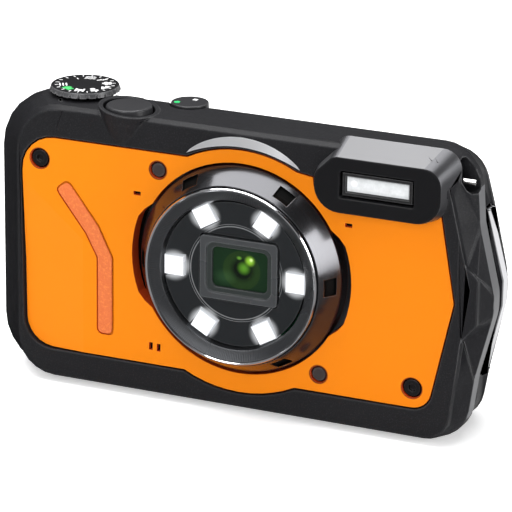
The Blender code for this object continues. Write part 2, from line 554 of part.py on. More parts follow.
# ---- Boards and monitor ----
add_piece("main_board", block((-7.0, 46.0), (19.8, 20.8), (6.4, 55.0)), (0.02, 0.22, 0.09), 0.5)
add_piece("chassis_plate", block((-49.0, 44.0), (22.0, 22.6), (7.0, 55.0)), (0.6, 0.6, 0.62), 0.4, 1.0)
MONITOR_X, MONITOR_Z = (-16.2, 44.4), (9.0, 54.8)
cut(rear_shell, plate(box_outline((MONITOR_X[0] - GAP, MONITOR_X[1] + GAP),
                                  (MONITOR_Z[0] - GAP, MONITOR_Z[1] + GAP), 2.0), REAR_FACE - 0.9, 30))
cut(rear_shell, block((-14.0, 42.0), (20, 30), (10.8, 53.0)))
add_piece("monitor_panel", block((-13.6, 41.6), (23.0, 25.2), (11.2, 52.6)), (0.05, 0.06, 0.08), 0.3)
add_piece("monitor_window", plate(box_outline(MONITOR_X, MONITOR_Z, 1.8), REAR_FACE - 0.6, REAR_FACE + 0.1),
          (0.01, 0.01, 0.012), 0.06)

# ---- Controls on the back ----
BUTTON_FACE = BACK
BUTTON_FOOT = 23.2


def rear_button(name, x, z, radius):
    """A round button that comes through a hole in the rear shell."""
    cut(rear_shell, rod((x, 22, z), (x, 30, z), radius + GAP))
    add_piece(name, rod((x, BUTTON_FOOT, z), (x, BUTTON_FACE, z), radius), (0.05, 0.05, 0.055), 0.45,
              pivot=(x, BUTTON_FACE, z))


rear_button("playback_button", -21.0, 41.5, 2.3)
rear_button("movie_button", -21.0, 50.0, 2.6)
rear_button("menu_button", -46.0, 12.4, 2.3)
rear_button("delete_button", -24.0, 12.4, 2.3)
rear_button("ok_button", PAD_X, PAD_Z, 3.2)
KEY_INNER, KEY_OUTER, KEY_HALF_ANGLE = 3.9, 9.2, 39.0
for name, facing in (("pad_left", 0), ("pad_up", 90), ("pad_right", 180), ("pad_down", 270)):
    span = (facing - KEY_HALF_ANGLE, facing + KEY_HALF_ANGLE)
    key_edge = (arc((PAD_X, PAD_Z), KEY_OUTER, *span, 6) + arc((PAD_X, PAD_Z), KEY_INNER, *span[::-1], 4))
    cut(rear_shell, plate(grown(key_edge, GAP), 22, 30))
    middle = (PAD_X + 6.5 * math.cos(math.radians(facing)), BUTTON_FACE,
              PAD_Z + 6.5 * math.sin(math.radians(facing)))
    add_piece(name, plate(key_edge, BUTTON_FOOT, BUTTON_FACE), (0.05, 0.05, 0.055), 0.45, pivot=middle)
rocker_edge = box_outline((ROCKER_X - 7.0, ROCKER_X + 7.0), (ROCKER_Z - 2.4, ROCKER_Z + 2.4), 2.2)
cut(rear_shell, plate(grown(rocker_edge, 0.45), 22, 30))
add_piece("zoom_rocker", plate(rocker_edge, 24.2, BUTTON_FACE), (0.05, 0.05, 0.055), 0.45,
          pivot=(ROCKER_X, 24.2, ROCKER_Z))

# ---- Fasteners ----
for index, (x, z) in enumerate(((-50.4, 40.6), (-50.6, 20.0), (-20.4, 6.8))):
    cut(rear_shell, rod((x, REAR_FACE - 0.9, z), (x, 30, z), 1.7, segments=20))
    cut(rear_shell, rod((x, 20, z), (x, 30, z), 1.0, segments=16))
    screw = add_piece(f"rear_screw_{index + 1}", rod((x, REAR_FACE - 0.6, z), (x, REAR_FACE - 0.1, z), 1.4,
                                                     segments=20),
                      (0.1, 0.1, 0.11), 0.3, 1.0)
    join(screw, rod((x, 22.9, z), (x, REAR_FACE - 0.4, z), 0.7, segments=12))
TRIPOD_X, TRIPOD_Y = -2.0, 9.0
TRIPOD_HOLE = 3.05
cut(front_shell, rod((TRIPOD_X, TRIPOD_Y, -1), (TRIPOD_X, TRIPOD_Y, 5), 5.3, segments=32))
cut(rear_shell, rod((TRIPOD_X, TRIPOD_Y, -1), (TRIPOD_X, TRIPOD_Y, 5), 5.3, segments=32))
socket = add_piece("tripod_socket", rod((TRIPOD_X, TRIPOD_Y, 0), (TRIPOD_X, TRIPOD_Y, 6.4), 5.0,
                                        segments=32),
                   (0.6, 0.6, 0.6), 0.3, 1.0)
cut(socket, rod((TRIPOD_X, TRIPOD_Y, -1), (TRIPOD_X, TRIPOD_Y, 5.6), TRIPOD_HOLE, segments=24))
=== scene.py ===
"""Rugged waterproof compact camera with a ring light: its finished surfaces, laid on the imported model.

Sizes are in millimetres and turned to metres by MM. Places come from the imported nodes. The camera
faces -Y, +X is on the right of someone facing its lens, and +Z is up.
"""
import json
import math

import bmesh
import bpy
from mathutils import Euler, Matrix, Vector

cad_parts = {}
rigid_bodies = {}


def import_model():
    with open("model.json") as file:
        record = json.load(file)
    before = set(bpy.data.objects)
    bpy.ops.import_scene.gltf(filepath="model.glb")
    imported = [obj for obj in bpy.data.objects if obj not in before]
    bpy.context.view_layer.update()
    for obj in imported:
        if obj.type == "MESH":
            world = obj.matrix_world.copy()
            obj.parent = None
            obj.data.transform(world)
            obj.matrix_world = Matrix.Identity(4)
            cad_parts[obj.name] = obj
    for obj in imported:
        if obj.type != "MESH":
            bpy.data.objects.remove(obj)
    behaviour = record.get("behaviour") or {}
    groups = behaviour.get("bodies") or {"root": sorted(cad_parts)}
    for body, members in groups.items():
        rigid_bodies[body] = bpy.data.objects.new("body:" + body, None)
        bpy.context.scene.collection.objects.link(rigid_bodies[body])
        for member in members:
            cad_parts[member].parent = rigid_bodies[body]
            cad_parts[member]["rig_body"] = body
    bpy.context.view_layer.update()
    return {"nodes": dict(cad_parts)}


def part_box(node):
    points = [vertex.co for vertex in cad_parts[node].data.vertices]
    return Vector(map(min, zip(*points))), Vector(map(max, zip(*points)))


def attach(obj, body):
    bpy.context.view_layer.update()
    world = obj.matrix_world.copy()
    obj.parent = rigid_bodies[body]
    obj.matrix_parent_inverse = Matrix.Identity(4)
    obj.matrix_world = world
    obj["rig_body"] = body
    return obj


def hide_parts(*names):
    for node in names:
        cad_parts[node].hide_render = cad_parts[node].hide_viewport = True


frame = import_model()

MM = 0.001

# ---- Body shells ----
# The real body is two shells of glass-filled plastic, moulded with a fine grain and bolted together over
# a rubber seal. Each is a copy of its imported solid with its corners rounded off, and its smoother
# places picked out: the grey side band and the glossy strap pocket.


def link(name, data):
    """A named object put in the scene."""
    piece = bpy.data.objects.new(name, data)
    bpy.context.scene.collection.objects.link(piece)
    return piece


def box_mm(node):
    """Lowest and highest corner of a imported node, in millimetres."""
    low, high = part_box(node)
    return Vector(low) / MM, Vector(high) / MM


def middle_mm(node):
    """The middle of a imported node, in millimetres."""
    low, high = box_mm(node)
    return (low + high) / 2


def merged_copy(node, cuts=()):
    """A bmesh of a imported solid, its triangles joined into the flat faces that they came from.

    cuts are places along X, in mm, where faces stay parted, so that none has a whole hole inside it.
    """
    bm = bmesh.new()
    bm.from_mesh(frame["nodes"][node].data)
    bmesh.ops.remove_doubles(bm, verts=bm.verts, dist=0.002 * MM)
    for cut in cuts:
        bmesh.ops.bisect_plane(bm, geom=bm.verts[:] + bm.edges[:] + bm.faces[:], plane_co=(cut * MM, 0, 0),
                               plane_no=(1, 0, 0), dist=0.002 * MM)
    for face in bm.faces:
        face.material_index = sum(face.calc_center_median().x > cut * MM for cut in cuts)
    bmesh.ops.dissolve_limit(bm, angle_limit=math.radians(0.8), verts=bm.verts, edges=bm.edges,
                             delimit={"MATERIAL"})
    for face in bm.faces:
        face.material_index = 0
    bm.normal_update()
    return bm


def weigh_edges(bm, width, angle):
    """Gives each sharp edge as much of the rounding as the faces beside it have room for."""
    weight = bm.edges.layers.float.new("bevel_weight_edge")
    for edge in bm.edges:
        if len(edge.link_faces) != 2 or edge.calc_face_angle(0.0) < math.radians(angle):
            continue
        along = (edge.verts[1].co - edge.verts[0].co).normalized()
        room = 1.0
        for face in edge.link_faces:
            for side in face.edges:
                if side is edge or not set(side.verts) & set(edge.verts):
                    continue
                across = (side.verts[1].co - side.verts[0].co).cross(along).length
                if across > 0.4 * side.calc_length():
                    room = min(room, 0.42 * across / (width * MM))
        edge[weight] = room


def settle(bm, name, node, materials, width=0.0, segments=2, angle=26, stands_for=True):
    """Makes an object of a bmesh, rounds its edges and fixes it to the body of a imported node."""
    bm.normal_update()
    if width:
        weigh_edges(bm, width, angle)
    mesh = bpy.data.meshes.new(name)
    bm.to_mesh(mesh)
    bm.free()
    for material in materials:
        mesh.materials.append(material)
    mesh.shade_smooth()
    mesh.set_sharp_from_angle(angle=math.radians(angle))
    piece = link(name, mesh)
    if width:
        bevel = piece.modifiers.new("rounded edges", "BEVEL")
        bevel.width = width * MM
        bevel.segments = segments
        bevel.limit_method = "WEIGHT"
        bevel.use_clamp_overlap = False
        bevel.harden_normals = True
    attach(piece, frame["nodes"][node]["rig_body"])
    if stands_for:
        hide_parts(node)
    return piece


def finished(name, node, materials, width=0.2, segments=2, angle=26, choose=None, cuts=()):
    """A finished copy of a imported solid; choose picks a material by a face's middle and normal."""
    bm = merged_copy(node, cuts)
    if choose:
        for face in bm.faces:
            face.material_index = choose(face.calc_center_median() / MM, face.normal)
    return settle(bm, name, node, materials, width, segments, angle)


def add_node(tree, kind, settings=(), slots=(), **inputs):
    """One shader node, with its settings and its inputs: each input is a value or a socket."""
    node = tree.nodes.new(kind)
    for key, value in dict(settings).items():
        setattr(node, key, value)
    named = [(node.inputs[key.replace("_", " ")], value) for key, value in inputs.items()]
    for socket, value in list(zip(node.inputs, slots)) + named:
        if isinstance(value, bpy.types.NodeSocket):
            tree.links.new(value, socket)
        elif value is not None:
            socket.default_value = value
    return node


def sum_of(tree, operation, first, second=None, third=None, clamp=False):
    """The value of a Math node."""
    return add_node(tree, "ShaderNodeMath", [("operation", operation), ("use_clamp", clamp)],
                    [first, second, third]).outputs[0]


def vector_sum(tree, operation, first, second=None):
    """The outputs of a Vector Math node."""
    return add_node(tree, "ShaderNodeVectorMath", [("operation", operation)], [first, second]).outputs


def object_place(tree):
    """A point's place in the object's own coordinates, in metres."""
    return add_node(tree, "ShaderNodeTexCoord").outputs["Object"]


def object_axes(tree):
    """A point's X, Y and Z in the object's own coordinates, in metres."""
    return add_node(tree, "ShaderNodeSeparateXYZ", [], [object_place(tree)]).outputs


def ramp(tree, value, start, end, low=0.0, high=1.0, shape="LINEAR"):
    """A value carried from start...end to low...high and held there beyond."""
    return add_node(tree, "ShaderNodeMapRange", [("interpolation_type", shape)], Value=value, From_Min=start,
                    From_Max=end, To_Min=low, To_Max=high).outputs[0]


def waves(tree, value, rate):
    """A sine wave of a value, from 0 to 1."""
    swing = sum_of(tree, "SINE", sum_of(tree, "MULTIPLY", value, rate))
    return sum_of(tree, "MULTIPLY_ADD", swing, 0.5, 0.5)


def blend_colour(tree, factor, first, second):
    """A mix of two colours, each a colour or a socket."""
    mix = add_node(tree, "ShaderNodeMix", [("data_type", "RGBA")])
    tree.links.new(factor, mix.inputs[0])
    for index, value in ((6, first), (7, second)):
        if isinstance(value, bpy.types.NodeSocket):
            tree.links.new(value, mix.inputs[index])
        else:
            mix.inputs[index].default_value = (*value, 1.0)
    return mix.outputs[2]


def new_group(name, inputs, outputs):
    """An empty shader node group with float inputs and outputs."""
    group = bpy.data.node_groups.new(name, "ShaderNodeTree")
    for label, default in inputs:
        socket = group.interface.new_socket(label, in_out="INPUT", socket_type="NodeSocketFloat")
        socket.default_value = default
    for label in outputs:
        group.interface.new_socket(label, in_out="OUTPUT", socket_type="NodeSocketFloat")
    return group, group.nodes.new("NodeGroupInput").outputs, group.nodes.new("NodeGroupOutput").inputs


def moulded_grain():
    """Fine spark-eroded grain for the bump, slow patches for tone and gloss, and bright specks that are
    painted glints of the grain.
    """
    group, given, result = new_group("moulded grain", [("Grain", 2600.0), ("Patches", 45.0)],
                                     ["Height", "Patch", "Speck"])
    place = object_place(group)
    fine = add_node(group, "ShaderNodeTexNoise", Vector=place, Scale=given["Grain"], Detail=2.0,
                    Roughness=0.6)
    slow = add_node(group, "ShaderNodeTexNoise", Vector=place, Scale=given["Patches"], Detail=4.0)
    group.links.new(fine.outputs[0], result["Height"])
    group.links.new(slow.outputs[0], result["Patch"])
    group.links.new(ramp(group, fine.outputs[0], 0.52, 0.72), result["Speck"])
    return group


def rubbed_and_highlit_edges():
    """A mask that is bright along edges: wear where handling polishes the surface, and painted highlights
    where edges catch the light.
    """
    group, given, result = new_group("worn and highlit edges", [("Reach", 0.0004), ("Gain", 5.0)], ["Mask"])
    rounded = add_node(group, "ShaderNodeBevel", [("samples", 4)], Radius=given["Reach"])
    facing = add_node(group, "ShaderNodeNewGeometry").outputs["Normal"]
    agree = vector_sum(group, "DOT_PRODUCT", rounded.outputs[0], facing)["Value"]
    differ = sum_of(group, "SUBTRACT", 1.0, agree)
    group.links.new(sum_of(group, "MULTIPLY", differ, given["Gain"], clamp=True), result["Mask"])
    return group


grain_group = moulded_grain()
wear_and_highlight_group = rubbed_and_highlit_edges()


def surface(name, colour, roughness, metallic=0.0, grain=2600.0, depth=0.03, patch=0.12, edge=0.25,
            swing=0.06, coat=0.0, speck=0.0, tone=None, bump=None, emission=None, specular=0.5):
    """A finish with grain in its bump, slow changes of tone and gloss, and lighter edges for both wear and
    painted highlights.

    tone, bump and emission are makers of extra colour, height and glow: each is given the node tree.
    """
    material = bpy.data.materials.new(name)
    material.use_nodes = True
    tree = material.node_tree
    shader = tree.nodes["Principled BSDF"]
    shader.inputs["Metallic"].default_value = metallic
    shader.inputs["Specular IOR Level"].default_value = specular
    shader.inputs["Coat Weight"].default_value = coat
    shader.inputs["Coat Roughness"].default_value = 0.06
    texture = add_node(tree, "ShaderNodeGroup", [("node_tree", grain_group)], Grain=grain)
    rub = add_node(tree, "ShaderNodeGroup", [("node_tree", wear_and_highlight_group)])
    patches = texture.outputs["Patch"]
    body = blend_colour(tree, patches, [c * (1 - patch) for c in colour],
                        [min(c * (1 + patch), 1) for c in colour])
    if tone:
        body = tone(tree, body)
    # Bright specks lighten the colour: painted glints of the grain catching the light.
    if speck:
        bright = sum_of(tree, "MULTIPLY", texture.outputs["Speck"], speck)
        body = blend_colour(tree, bright, body, [min(c * 2.5 + 0.02, 1) for c in colour])
    # Edges are lightened both for wear and as painted highlights where they catch the light.
    wear_and_highlight = sum_of(tree, "MULTIPLY", rub.outputs["Mask"], edge)
    body = blend_colour(tree, wear_and_highlight, body, [min(c * 1.6 + 0.08, 1) for c in colour])
    tree.links.new(body, shader.inputs["Base Color"])
    gloss = ramp(tree, patches, 0.3, 0.7, max(roughness - swing, 0.02), roughness + swing)
    tree.links.new(gloss, shader.inputs["Roughness"])
    height = texture.outputs["Height"]
    if bump:
        height = sum_of(tree, "ADD", sum_of(tree, "MULTIPLY", height, 0.3), bump(tree))
    relief = add_node(tree, "ShaderNodeBump", Strength=0.6, Distance=depth * MM, Height=height)
    tree.links.new(relief.outputs[0], shader.inputs["Normal"])
    if emission:
        tree.links.new(emission(tree), shader.inputs["Emission Color"])
        shader.inputs["Emission Strength"].default_value = 1.0
    return material


# The body's edges are lightened strongly: painted highlight lines along its creases, with some wear.
body_plastic = surface("body plastic", (0.011, 0.011, 0.0125), 0.42, grain=3400, depth=0.05, edge=0.9,
                       speck=0.35, specular=0.14)
band_grey = surface("side band grey", (0.08, 0.082, 0.088), 0.34, 0.4, grain=3400, depth=0.03, edge=0.5)
# The pocket's edges are lightened strongly: painted highlights on its rims.
pocket_gloss = surface("pocket gloss", (0.005, 0.005, 0.006), 0.07, grain=1500, depth=0.003, edge=2.5,
                       coat=1.0)

flash_low, flash_high = box_mm("flash_window")
STRAP = middle_mm("strap_bar")
FACE_Y = box_mm("front_panel")[0].y
BAND_X, BAND_TOP, BAND_DEPTHS = 54, 56, (4.5, 9.4)
POCKET_REACH, POCKET_HALF_WIDTH, POCKET_DEPTH = 6.0, 4.5, 8


def front_shell_finish(middle, normal):
    """Which finish a face of the front shell gets: plain, side band or strap pocket."""
    depth = middle.y - FACE_Y
    along_band = middle.x > BAND_X and middle.z < BAND_TOP and BAND_DEPTHS[0] < depth < BAND_DEPTHS[1]
    if along_band and normal.x > 0.86:
        return 1
    near = (middle - STRAP).length < POCKET_REACH and abs(middle.x - STRAP.x) < POCKET_HALF_WIDTH
    if near and depth < POCKET_DEPTH and normal.x < 0.2 and normal.z < 0.7 and normal.y > -0.7:
        return 2
    return 0


# Faces of the shells stay parted where holes are, at these places along X.
HOLES_X = (-50.5, -46, -40.1, -35, -25.6, -24, -21, -15.6, -2, 2.6, 14, 34.6, 52.6)
finished("body_front", "front_shell", [body_plastic, band_grey, pocket_gloss], 0.3, 3, 17,
         front_shell_finish, HOLES_X)
finished("body_rear", "rear_shell", [body_plastic], 0.3, 3, 17, None, HOLES_X)

# ---- Flash hood ----
# A long nose moulded in satin plastic and clipped over the shell, round at both ends, with a flat sloping
# roof. Its front is a black plate with a rectangular opening for the flash.
hood_satin = surface("hood satin", (0.075, 0.075, 0.08), 0.34, 0.7, grain=5200, depth=0.008, edge=0.4)
hood_black = surface("hood black", (0.006, 0.006, 0.007), 0.4, grain=3000, depth=0.02, edge=0.3,
                     specular=0.15)
# The roof's broad upward faces get a lighter copy of the satin: painted light from above.
hood_roof_lit = surface("hood roof lit", (0.11, 0.11, 0.114), 0.36, 0.6, grain=5200, depth=0.01, patch=0.06, edge=0.4)


def rounded_outline(corners, depth, steps=8):
    """Points round a shape whose corners are (x, z, radius), at a depth behind the panel's face."""
    points = []
    for index, (x, z, radius) in enumerate(corners):
        here = Vector((x, z))
        before = (Vector(corners[index - 1][:2]) - here).normalized()
        after = (Vector(corners[(index + 1) % len(corners)][:2]) - here).normalized()
        half = before.angle(after) / 2
        middle = here + (before + after).normalized() * (radius / math.sin(half))
        start = here + before * (radius / math.tan(half)) - middle
        end = here + after * (radius / math.tan(half)) - middle
        for step in range(steps + 1):
            way = start.slerp(end, step / steps).normalized() * radius
            points.append(Vector((middle.x + way.x, FACE_Y + depth, middle.y + way.y)))
    return points


def skinned(outlines):
    """A closed bmesh skinned over outlines of equal count, the last joined back to the first."""
    bm = bmesh.new()
    rings = [[bm.verts.new(point * MM) for point in outline] for outline in outlines]
    bands = []
    for outer, inner in zip(rings, rings[1:] + rings[:1]):
        sides = zip(outer, outer[1:] + outer[:1], inner[1:] + inner[:1], inner)
        bands.append([bm.faces.new(corners) for corners in sides])
    bm.normal_update()
    bmesh.ops.recalc_face_normals(bm, faces=bm.faces)
    bm.normal_update()
    return bm, bands


HOOD_FOOT = [(19.5, 50.3, 6.2), (51.7, 50.3, 6.2), (51.7, 66.5, 4.3), (25.1, 66.5, 3), (19.5, 60.9, 4)]
HOOD_NOSE = [(20.4, 50.8, 5.7), (49.0, 50.8, 5.7), (49.0, 63.2, 3.9), (24.6, 63.2, 2.6), (20.4, 59.0, 3)]
FOOT_DEPTH, NOSE_DEPTH, MOUTH_DEPTH = 3.4, -2.68, -0.4


def flash_hood():
    """The nose: its skin runs from the wide foot to the front, and on into the opening for the flash."""
    low, high = flash_low - Vector((0.5, 0, 0.5)), flash_high + Vector((0.5, 0, 0.5))
    mouth = [(low.x, low.z, 0.3), (high.x, low.z, 0.3), (high.x, high.z, 0.3), (low.x + 0.5, high.z, 0.1),
             (low.x, high.z - 0.5, 0.1)]
    bm, bands = skinned([rounded_outline(HOOD_FOOT, FOOT_DEPTH), rounded_outline(HOOD_NOSE, NOSE_DEPTH),
                         rounded_outline(mouth, NOSE_DEPTH), rounded_outline(mouth, MOUTH_DEPTH)])
    for index, band in enumerate(bands):
        for face in band:
            broad = face.calc_area() > 8 * MM * MM and face.normal.z > 0.25
            face.material_index = 2 if index else 0 if broad else 1
    return settle(bm, "flash_hood", "front_shell", [hood_roof_lit, hood_satin, hood_black], 0.3, 3, 14, False)


flash_hood()

# ---- Brow over the lens ----
# A crescent of bright grey over the step between the shell and the panel's bulge over the lens: a painted
# highlight where the step faces up and catches the light. It is a thin strip, thickest a little right of the
# middle and thin at both ends.
LENS_X, LENS_Z = middle_mm("lens_rim").xz
BROW_STEPS, BROW_START, BROW_SWEEP, BROW_RADIUS, BROW_WIDTH = 36, 117, 56, 28.15, 2.0
brow_highlight = surface("brow painted highlight", (0.45, 0.455, 0.465), 0.32, 0.5, grain=5200, depth=0.008, edge=0.4)


def brow():
    """The crescent: a strip between two arcs that is raised along its lower edge."""
    bm = bmesh.new()
    rows = []
    for index in range(BROW_STEPS + 1):
        share = index / BROW_STEPS
        angle = math.radians(BROW_START - BROW_SWEEP * share)
        width = BROW_WIDTH * math.sin(math.pi * share) ** 0.7
        along = Vector((math.cos(angle), 0, math.sin(angle)))
        centre = Vector((LENS_X, 0, LENS_Z))
        low = centre + along * BROW_RADIUS + Vector((0, FACE_Y - 0.5 * min(1, width / 1.4) - 0.32, 0))
        high = centre + along * (BROW_RADIUS + 0.05 + width) + Vector((0, FACE_Y - 0.34, 0))
        back = centre + along * BROW_RADIUS + Vector((0, FACE_Y - 0.2, 0))
        rows.append([bm.verts.new(point * MM) for point in (back, low, high)])
    for first, second in zip(rows, rows[1:]):
        for a, b in ((0, 1), (1, 2)):
            bm.faces.new((first[a], first[b], second[b], second[a]))
    bmesh.ops.recalc_face_normals(bm, faces=bm.faces)
    bmesh.ops.solidify(bm, geom=bm.faces[:], thickness=0.12 * MM)
    return settle(bm, "brow", "front_shell", [brow_highlight], 0.08, stands_for=False)


brow()

# ---- Front panel ----
# A plate of painted plastic, orange with a satin lacquer, screwed to the front shell. Its lower left is
# folded back for the fingers. Painted shade darkens and reddens the orange towards the right and makes the
# cut edges, hole walls and rims round the holes a dark red; the folded facet gets a lighter orange as painted
# light.


def round_mask(tree, x, z, inner, outer, stretch=1.0):
    """A soft disc about a point of the front, from 1 inside the inner radius to 0 outside the outer."""
    moved = vector_sum(tree, "SUBTRACT", object_place(tree), (x * MM, 0, z * MM))[0]
    flat = vector_sum(tree, "MULTIPLY", moved, (1, 0, stretch))[0]
    far = vector_sum(tree, "LENGTH", flat)["Value"]
    return ramp(tree, far, inner * MM, outer * MM, 1.0, 0.0, "SMOOTHSTEP")


def lacquer_painted_shade(tree, body):
    """Painted shade: a slow drift from yellower on the left to darker and redder on the right, and dark red
    in the rims of the holes.
    """
    share = ramp(tree, object_axes(tree)[0], -0.05, 0.05, 0.0, 0.6)
    paint = blend_colour(tree, share, body, (0.66, 0.165, 0.001))
    # The dark red rims round the screws and windows are painted shade in their recesses.
    for node in ("panel_screw_upper", "panel_screw_lower", "focus_lamp_window", "remote_window"):
        low, high = box_mm(node)
        radius = (high.x - low.x) / 2
        rim = round_mask(tree, *middle_mm(node).xz, radius + 0.45, radius + 0.75)
        paint = blend_colour(tree, rim, paint, (0.1, 0.008, 0.002))
    return paint


orange_lacquer = surface("orange lacquer", (0.7, 0.195, 0.001), 0.4, grain=5200, depth=0.006, patch=0.04,
                         edge=0.12, tone=lacquer_painted_shade, specular=0.08)
# The folded facet gets a lighter copy of the orange: painted light on the facet.
lit_facet_lacquer = surface("lit facet lacquer", (0.74, 0.195, 0.001), 0.4, grain=5200, depth=0.006, patch=0.04,
                        edge=0.12, specular=0.1)
# Faces that do not look forward, the cut edges and the walls of the holes, get a darker red: painted shade.
panel_edge_shade_red = surface("panel edge shade red", (0.5, 0.05, 0.008), 0.4, grain=3000, depth=0.02, edge=0.1,
                         specular=0.2)
CREASE_START, CREASE_CORNER = Vector((-48.3, 0, 45.8)), Vector((-35.3, 0, 34.8))
FACET_SLOPE, FACET_DEEPEST = 0.062, 0.85


def front_panel():
    """The panel with its finger facet: cut along the fold lines, then the facet is sloped back."""
    bm = merged_copy("front_panel")
    upper = (CREASE_CORNER - CREASE_START).normalized()
    upper_side = Vector((upper.z, 0, -upper.x))
    if upper_side.x > 0:
        upper_side.negate()
    lower_side = Vector((-1, 0, 0))
    for normal in (upper_side, lower_side, (upper_side - lower_side).normalized()):
        geometry = bm.verts[:] + bm.edges[:] + bm.faces[:]
        bmesh.ops.bisect_plane(bm, geom=geometry, plane_co=CREASE_CORNER * MM, plane_no=normal, dist=1e-7)
    for vert in bm.verts:
        place = vert.co / MM - CREASE_CORNER
        inside = min(place.dot(upper_side), place.dot(lower_side))
        if inside > 0 and vert.co.y / MM < FACE_Y + 0.1:
            vert.co.y += min(FACET_SLOPE * inside, FACET_DEEPEST) * MM
    bm.normal_update()
    for face in bm.faces:
        middle = face.calc_center_median() / MM
        place = middle - CREASE_CORNER
        folded = min(place.dot(upper_side), place.dot(lower_side)) > 0.2
        painted = face.normal.y < -0.5 and middle.y < FACE_Y + 1
        face.material_index = 1 if not painted else 2 if folded else 0
    paints = [orange_lacquer, panel_edge_shade_red, lit_facet_lacquer]
    return settle(bm, "panel_orange", "front_panel", paints, 0.14, 2, 12)


front_panel()

# ---- Grip strip ----
# A bent strip of soft rubber glued into a groove of the panel, with a coarse pebbled grain for the fingers.
strip_rubber = surface("strip rubber", (0.62, 0.125, 0.016), 0.62, grain=1900, depth=0.22, patch=0.08,
                       edge=0.1, speck=0.35)
finished("grip_strip_rubber", "grip_strip", [strip_rubber], 0.25, 3)

# ---- Screws ----
# Stainless screws with a hex socket, blackened, sunk in the panel and in the rear shell.
screw_steel = surface("blackened screw", (0.05, 0.048, 0.05), 0.3, 1.0, grain=4000, depth=0.012, edge=0.8)
for node in ("panel_screw_upper", "panel_screw_lower", "rear_screw_1", "rear_screw_2", "rear_screw_3"):
    finished(node + "_head", node, [screw_steel], 0.12)

# ---- Small front windows ----
# Round lenses of smoked plastic for the focus lamp and the remote control, pressed into the panel.
smoked_window = surface("smoked window", (0.035, 0.027, 0.027), 0.2, grain=900, depth=0.004, edge=1.6,
                        specular=0.3)
for name, node in (("focus_lamp_lens", "focus_lamp_window"), ("remote_lens", "remote_window")):
    finished(name, node, [smoked_window], 0.35, 3)

# ---- Ring round the lens ----
# A cone of polished dark metal round the lens, with six notches that a snap-on adapter locks into.
# Inside it are a bright chrome rim and a knurled barrel, each turned on a lathe.
RING_STEPS = 144


def turned(profile, steps=RING_STEPS):
    """A bmesh spun about the lens axis from (radius, depth behind the panel's face) points."""
    bm = bmesh.new()
    centre = Vector((LENS_X, FACE_Y, LENS_Z))
    points = [bm.verts.new((centre + Vector((radius, depth, 0))) * MM) for radius, depth in profile]
    edges = [bm.edges.new(pair) for pair in zip(points, points[1:] + points[:1])]
    bmesh.ops.spin(bm, geom=points + edges, cent=centre * MM, axis=(0, 1, 0), angle=math.tau, steps=steps,
                   use_merge=True)
    bmesh.ops.remove_doubles(bm, verts=bm.verts, dist=1e-6)
    bmesh.ops.recalc_face_normals(bm, faces=bm.faces)
    return bm


gun_metal = surface("gun metal", (0.075, 0.075, 0.08), 0.17, 0.9, grain=3000, depth=0.003, patch=0.1,
                    edge=0.5, coat=0.15)
# The notches' floors and walls are near black: painted shade inside them.
notch_shade_black = surface("notch shade black", (0.004, 0.004, 0.004), 0.6, grain=3000, depth=0.01, edge=0.0,
                      specular=0.05)
NOTCH_BAND, NOTCH_HALF_ANGLE, NOTCH_DEPTH, NOTCH_SPACING = (21.25, 22.95), 5.8, 1.3, 60


def lens_cone():
    """The cone, its notches pressed in from the faces that lie in them, their floors and walls near black for
    painted shade.
    """
    slope = 5.0 / 3.2
    radii = (20.5,) + NOTCH_BAND
    profile = [(18.0, -3.4), (20.3, -5.0)] + [(r, -5.0 + (r - 20.5) * slope) for r in radii]
    bm = turned(profile + [(23.7, 0.0), (23.7, 3.7), (25.3, 3.7), (25.3, 4.8), (18.0, 4.8)])
    pressed = []
    for face in bm.faces:
        place = face.calc_center_median() / MM - Vector((LENS_X, FACE_Y, LENS_Z))
        radius = math.hypot(place.x, place.z)
        angle = math.degrees(math.atan2(place.z, place.x))
        within = abs((angle + NOTCH_SPACING / 2) % NOTCH_SPACING - NOTCH_SPACING / 2) < NOTCH_HALF_ANGLE
        if within and NOTCH_BAND[0] < radius < NOTCH_BAND[1] and place.y < 0 and face.normal.y < -0.2:
            pressed.append(face)
    grown = bmesh.ops.extrude_face_region(bm, geom=pressed)
    verts = {item for item in grown["geom"] if isinstance(item, bmesh.types.BMVert)}
    bmesh.ops.delete(bm, geom=pressed, context="FACES")
    bmesh.ops.translate(bm, verts=list(verts), vec=(0, NOTCH_DEPTH * MM, 0))
    floor = {item for item in grown["geom"] if isinstance(item, bmesh.types.BMFace)}
    for face in bm.faces:
        touched = sum(vert in verts for vert in face.verts)
        face.material_index = 1 if face in floor or touched >= 2 else 0
    return settle(bm, "lens_cone", "lens_ring_base", [gun_metal, notch_shade_black], 0.16, 3)


lens_cone()
chrome = surface("polished chrome", (0.82, 0.82, 0.84), 0.1, 1.0, grain=2000, depth=0.002, patch=0.05,
                 edge=0.1, swing=0.03)
RIM_PROFILE = [(19.5, -5.2), (19.55, -5.8), (19.72, -5.98), (19.95, -5.93), (20.12, -5.65), (20.12, -5.2)]
settle(turned(RIM_PROFILE), "chrome_rim", "lens_rim", [chrome])


KNURLS = 280.0


def from_lens_axis(tree):
    """How far a point is across and up from the lens axis, in metres."""
    parts = object_axes(tree)
    return sum_of(tree, "SUBTRACT", parts[0], LENS_X * MM), sum_of(tree, "SUBTRACT", parts[2], LENS_Z * MM)


def fine_knurl(tree):
    """Fine straight ridges round the barrel."""
    across, up = from_lens_axis(tree)
    return waves(tree, sum_of(tree, "ARCTAN2", up, across), KNURLS)


barrel_black = surface("knurled barrel", (0.05, 0.052, 0.056), 0.3, 0.7, grain=3000, depth=0.05, edge=0.5,
                       bump=fine_knurl)
BARREL_PROFILE = [(16.9, -2.2), (17.1, -4.4), (17.35, -4.7), (19.3, -5.75), (19.52, -5.7), (19.5, -4.9),
                  (17.6, -3.6), (17.6, -2.2)]
settle(turned(BARREL_PROFILE), "knurled_barrel", "lens_barrel", [barrel_black])

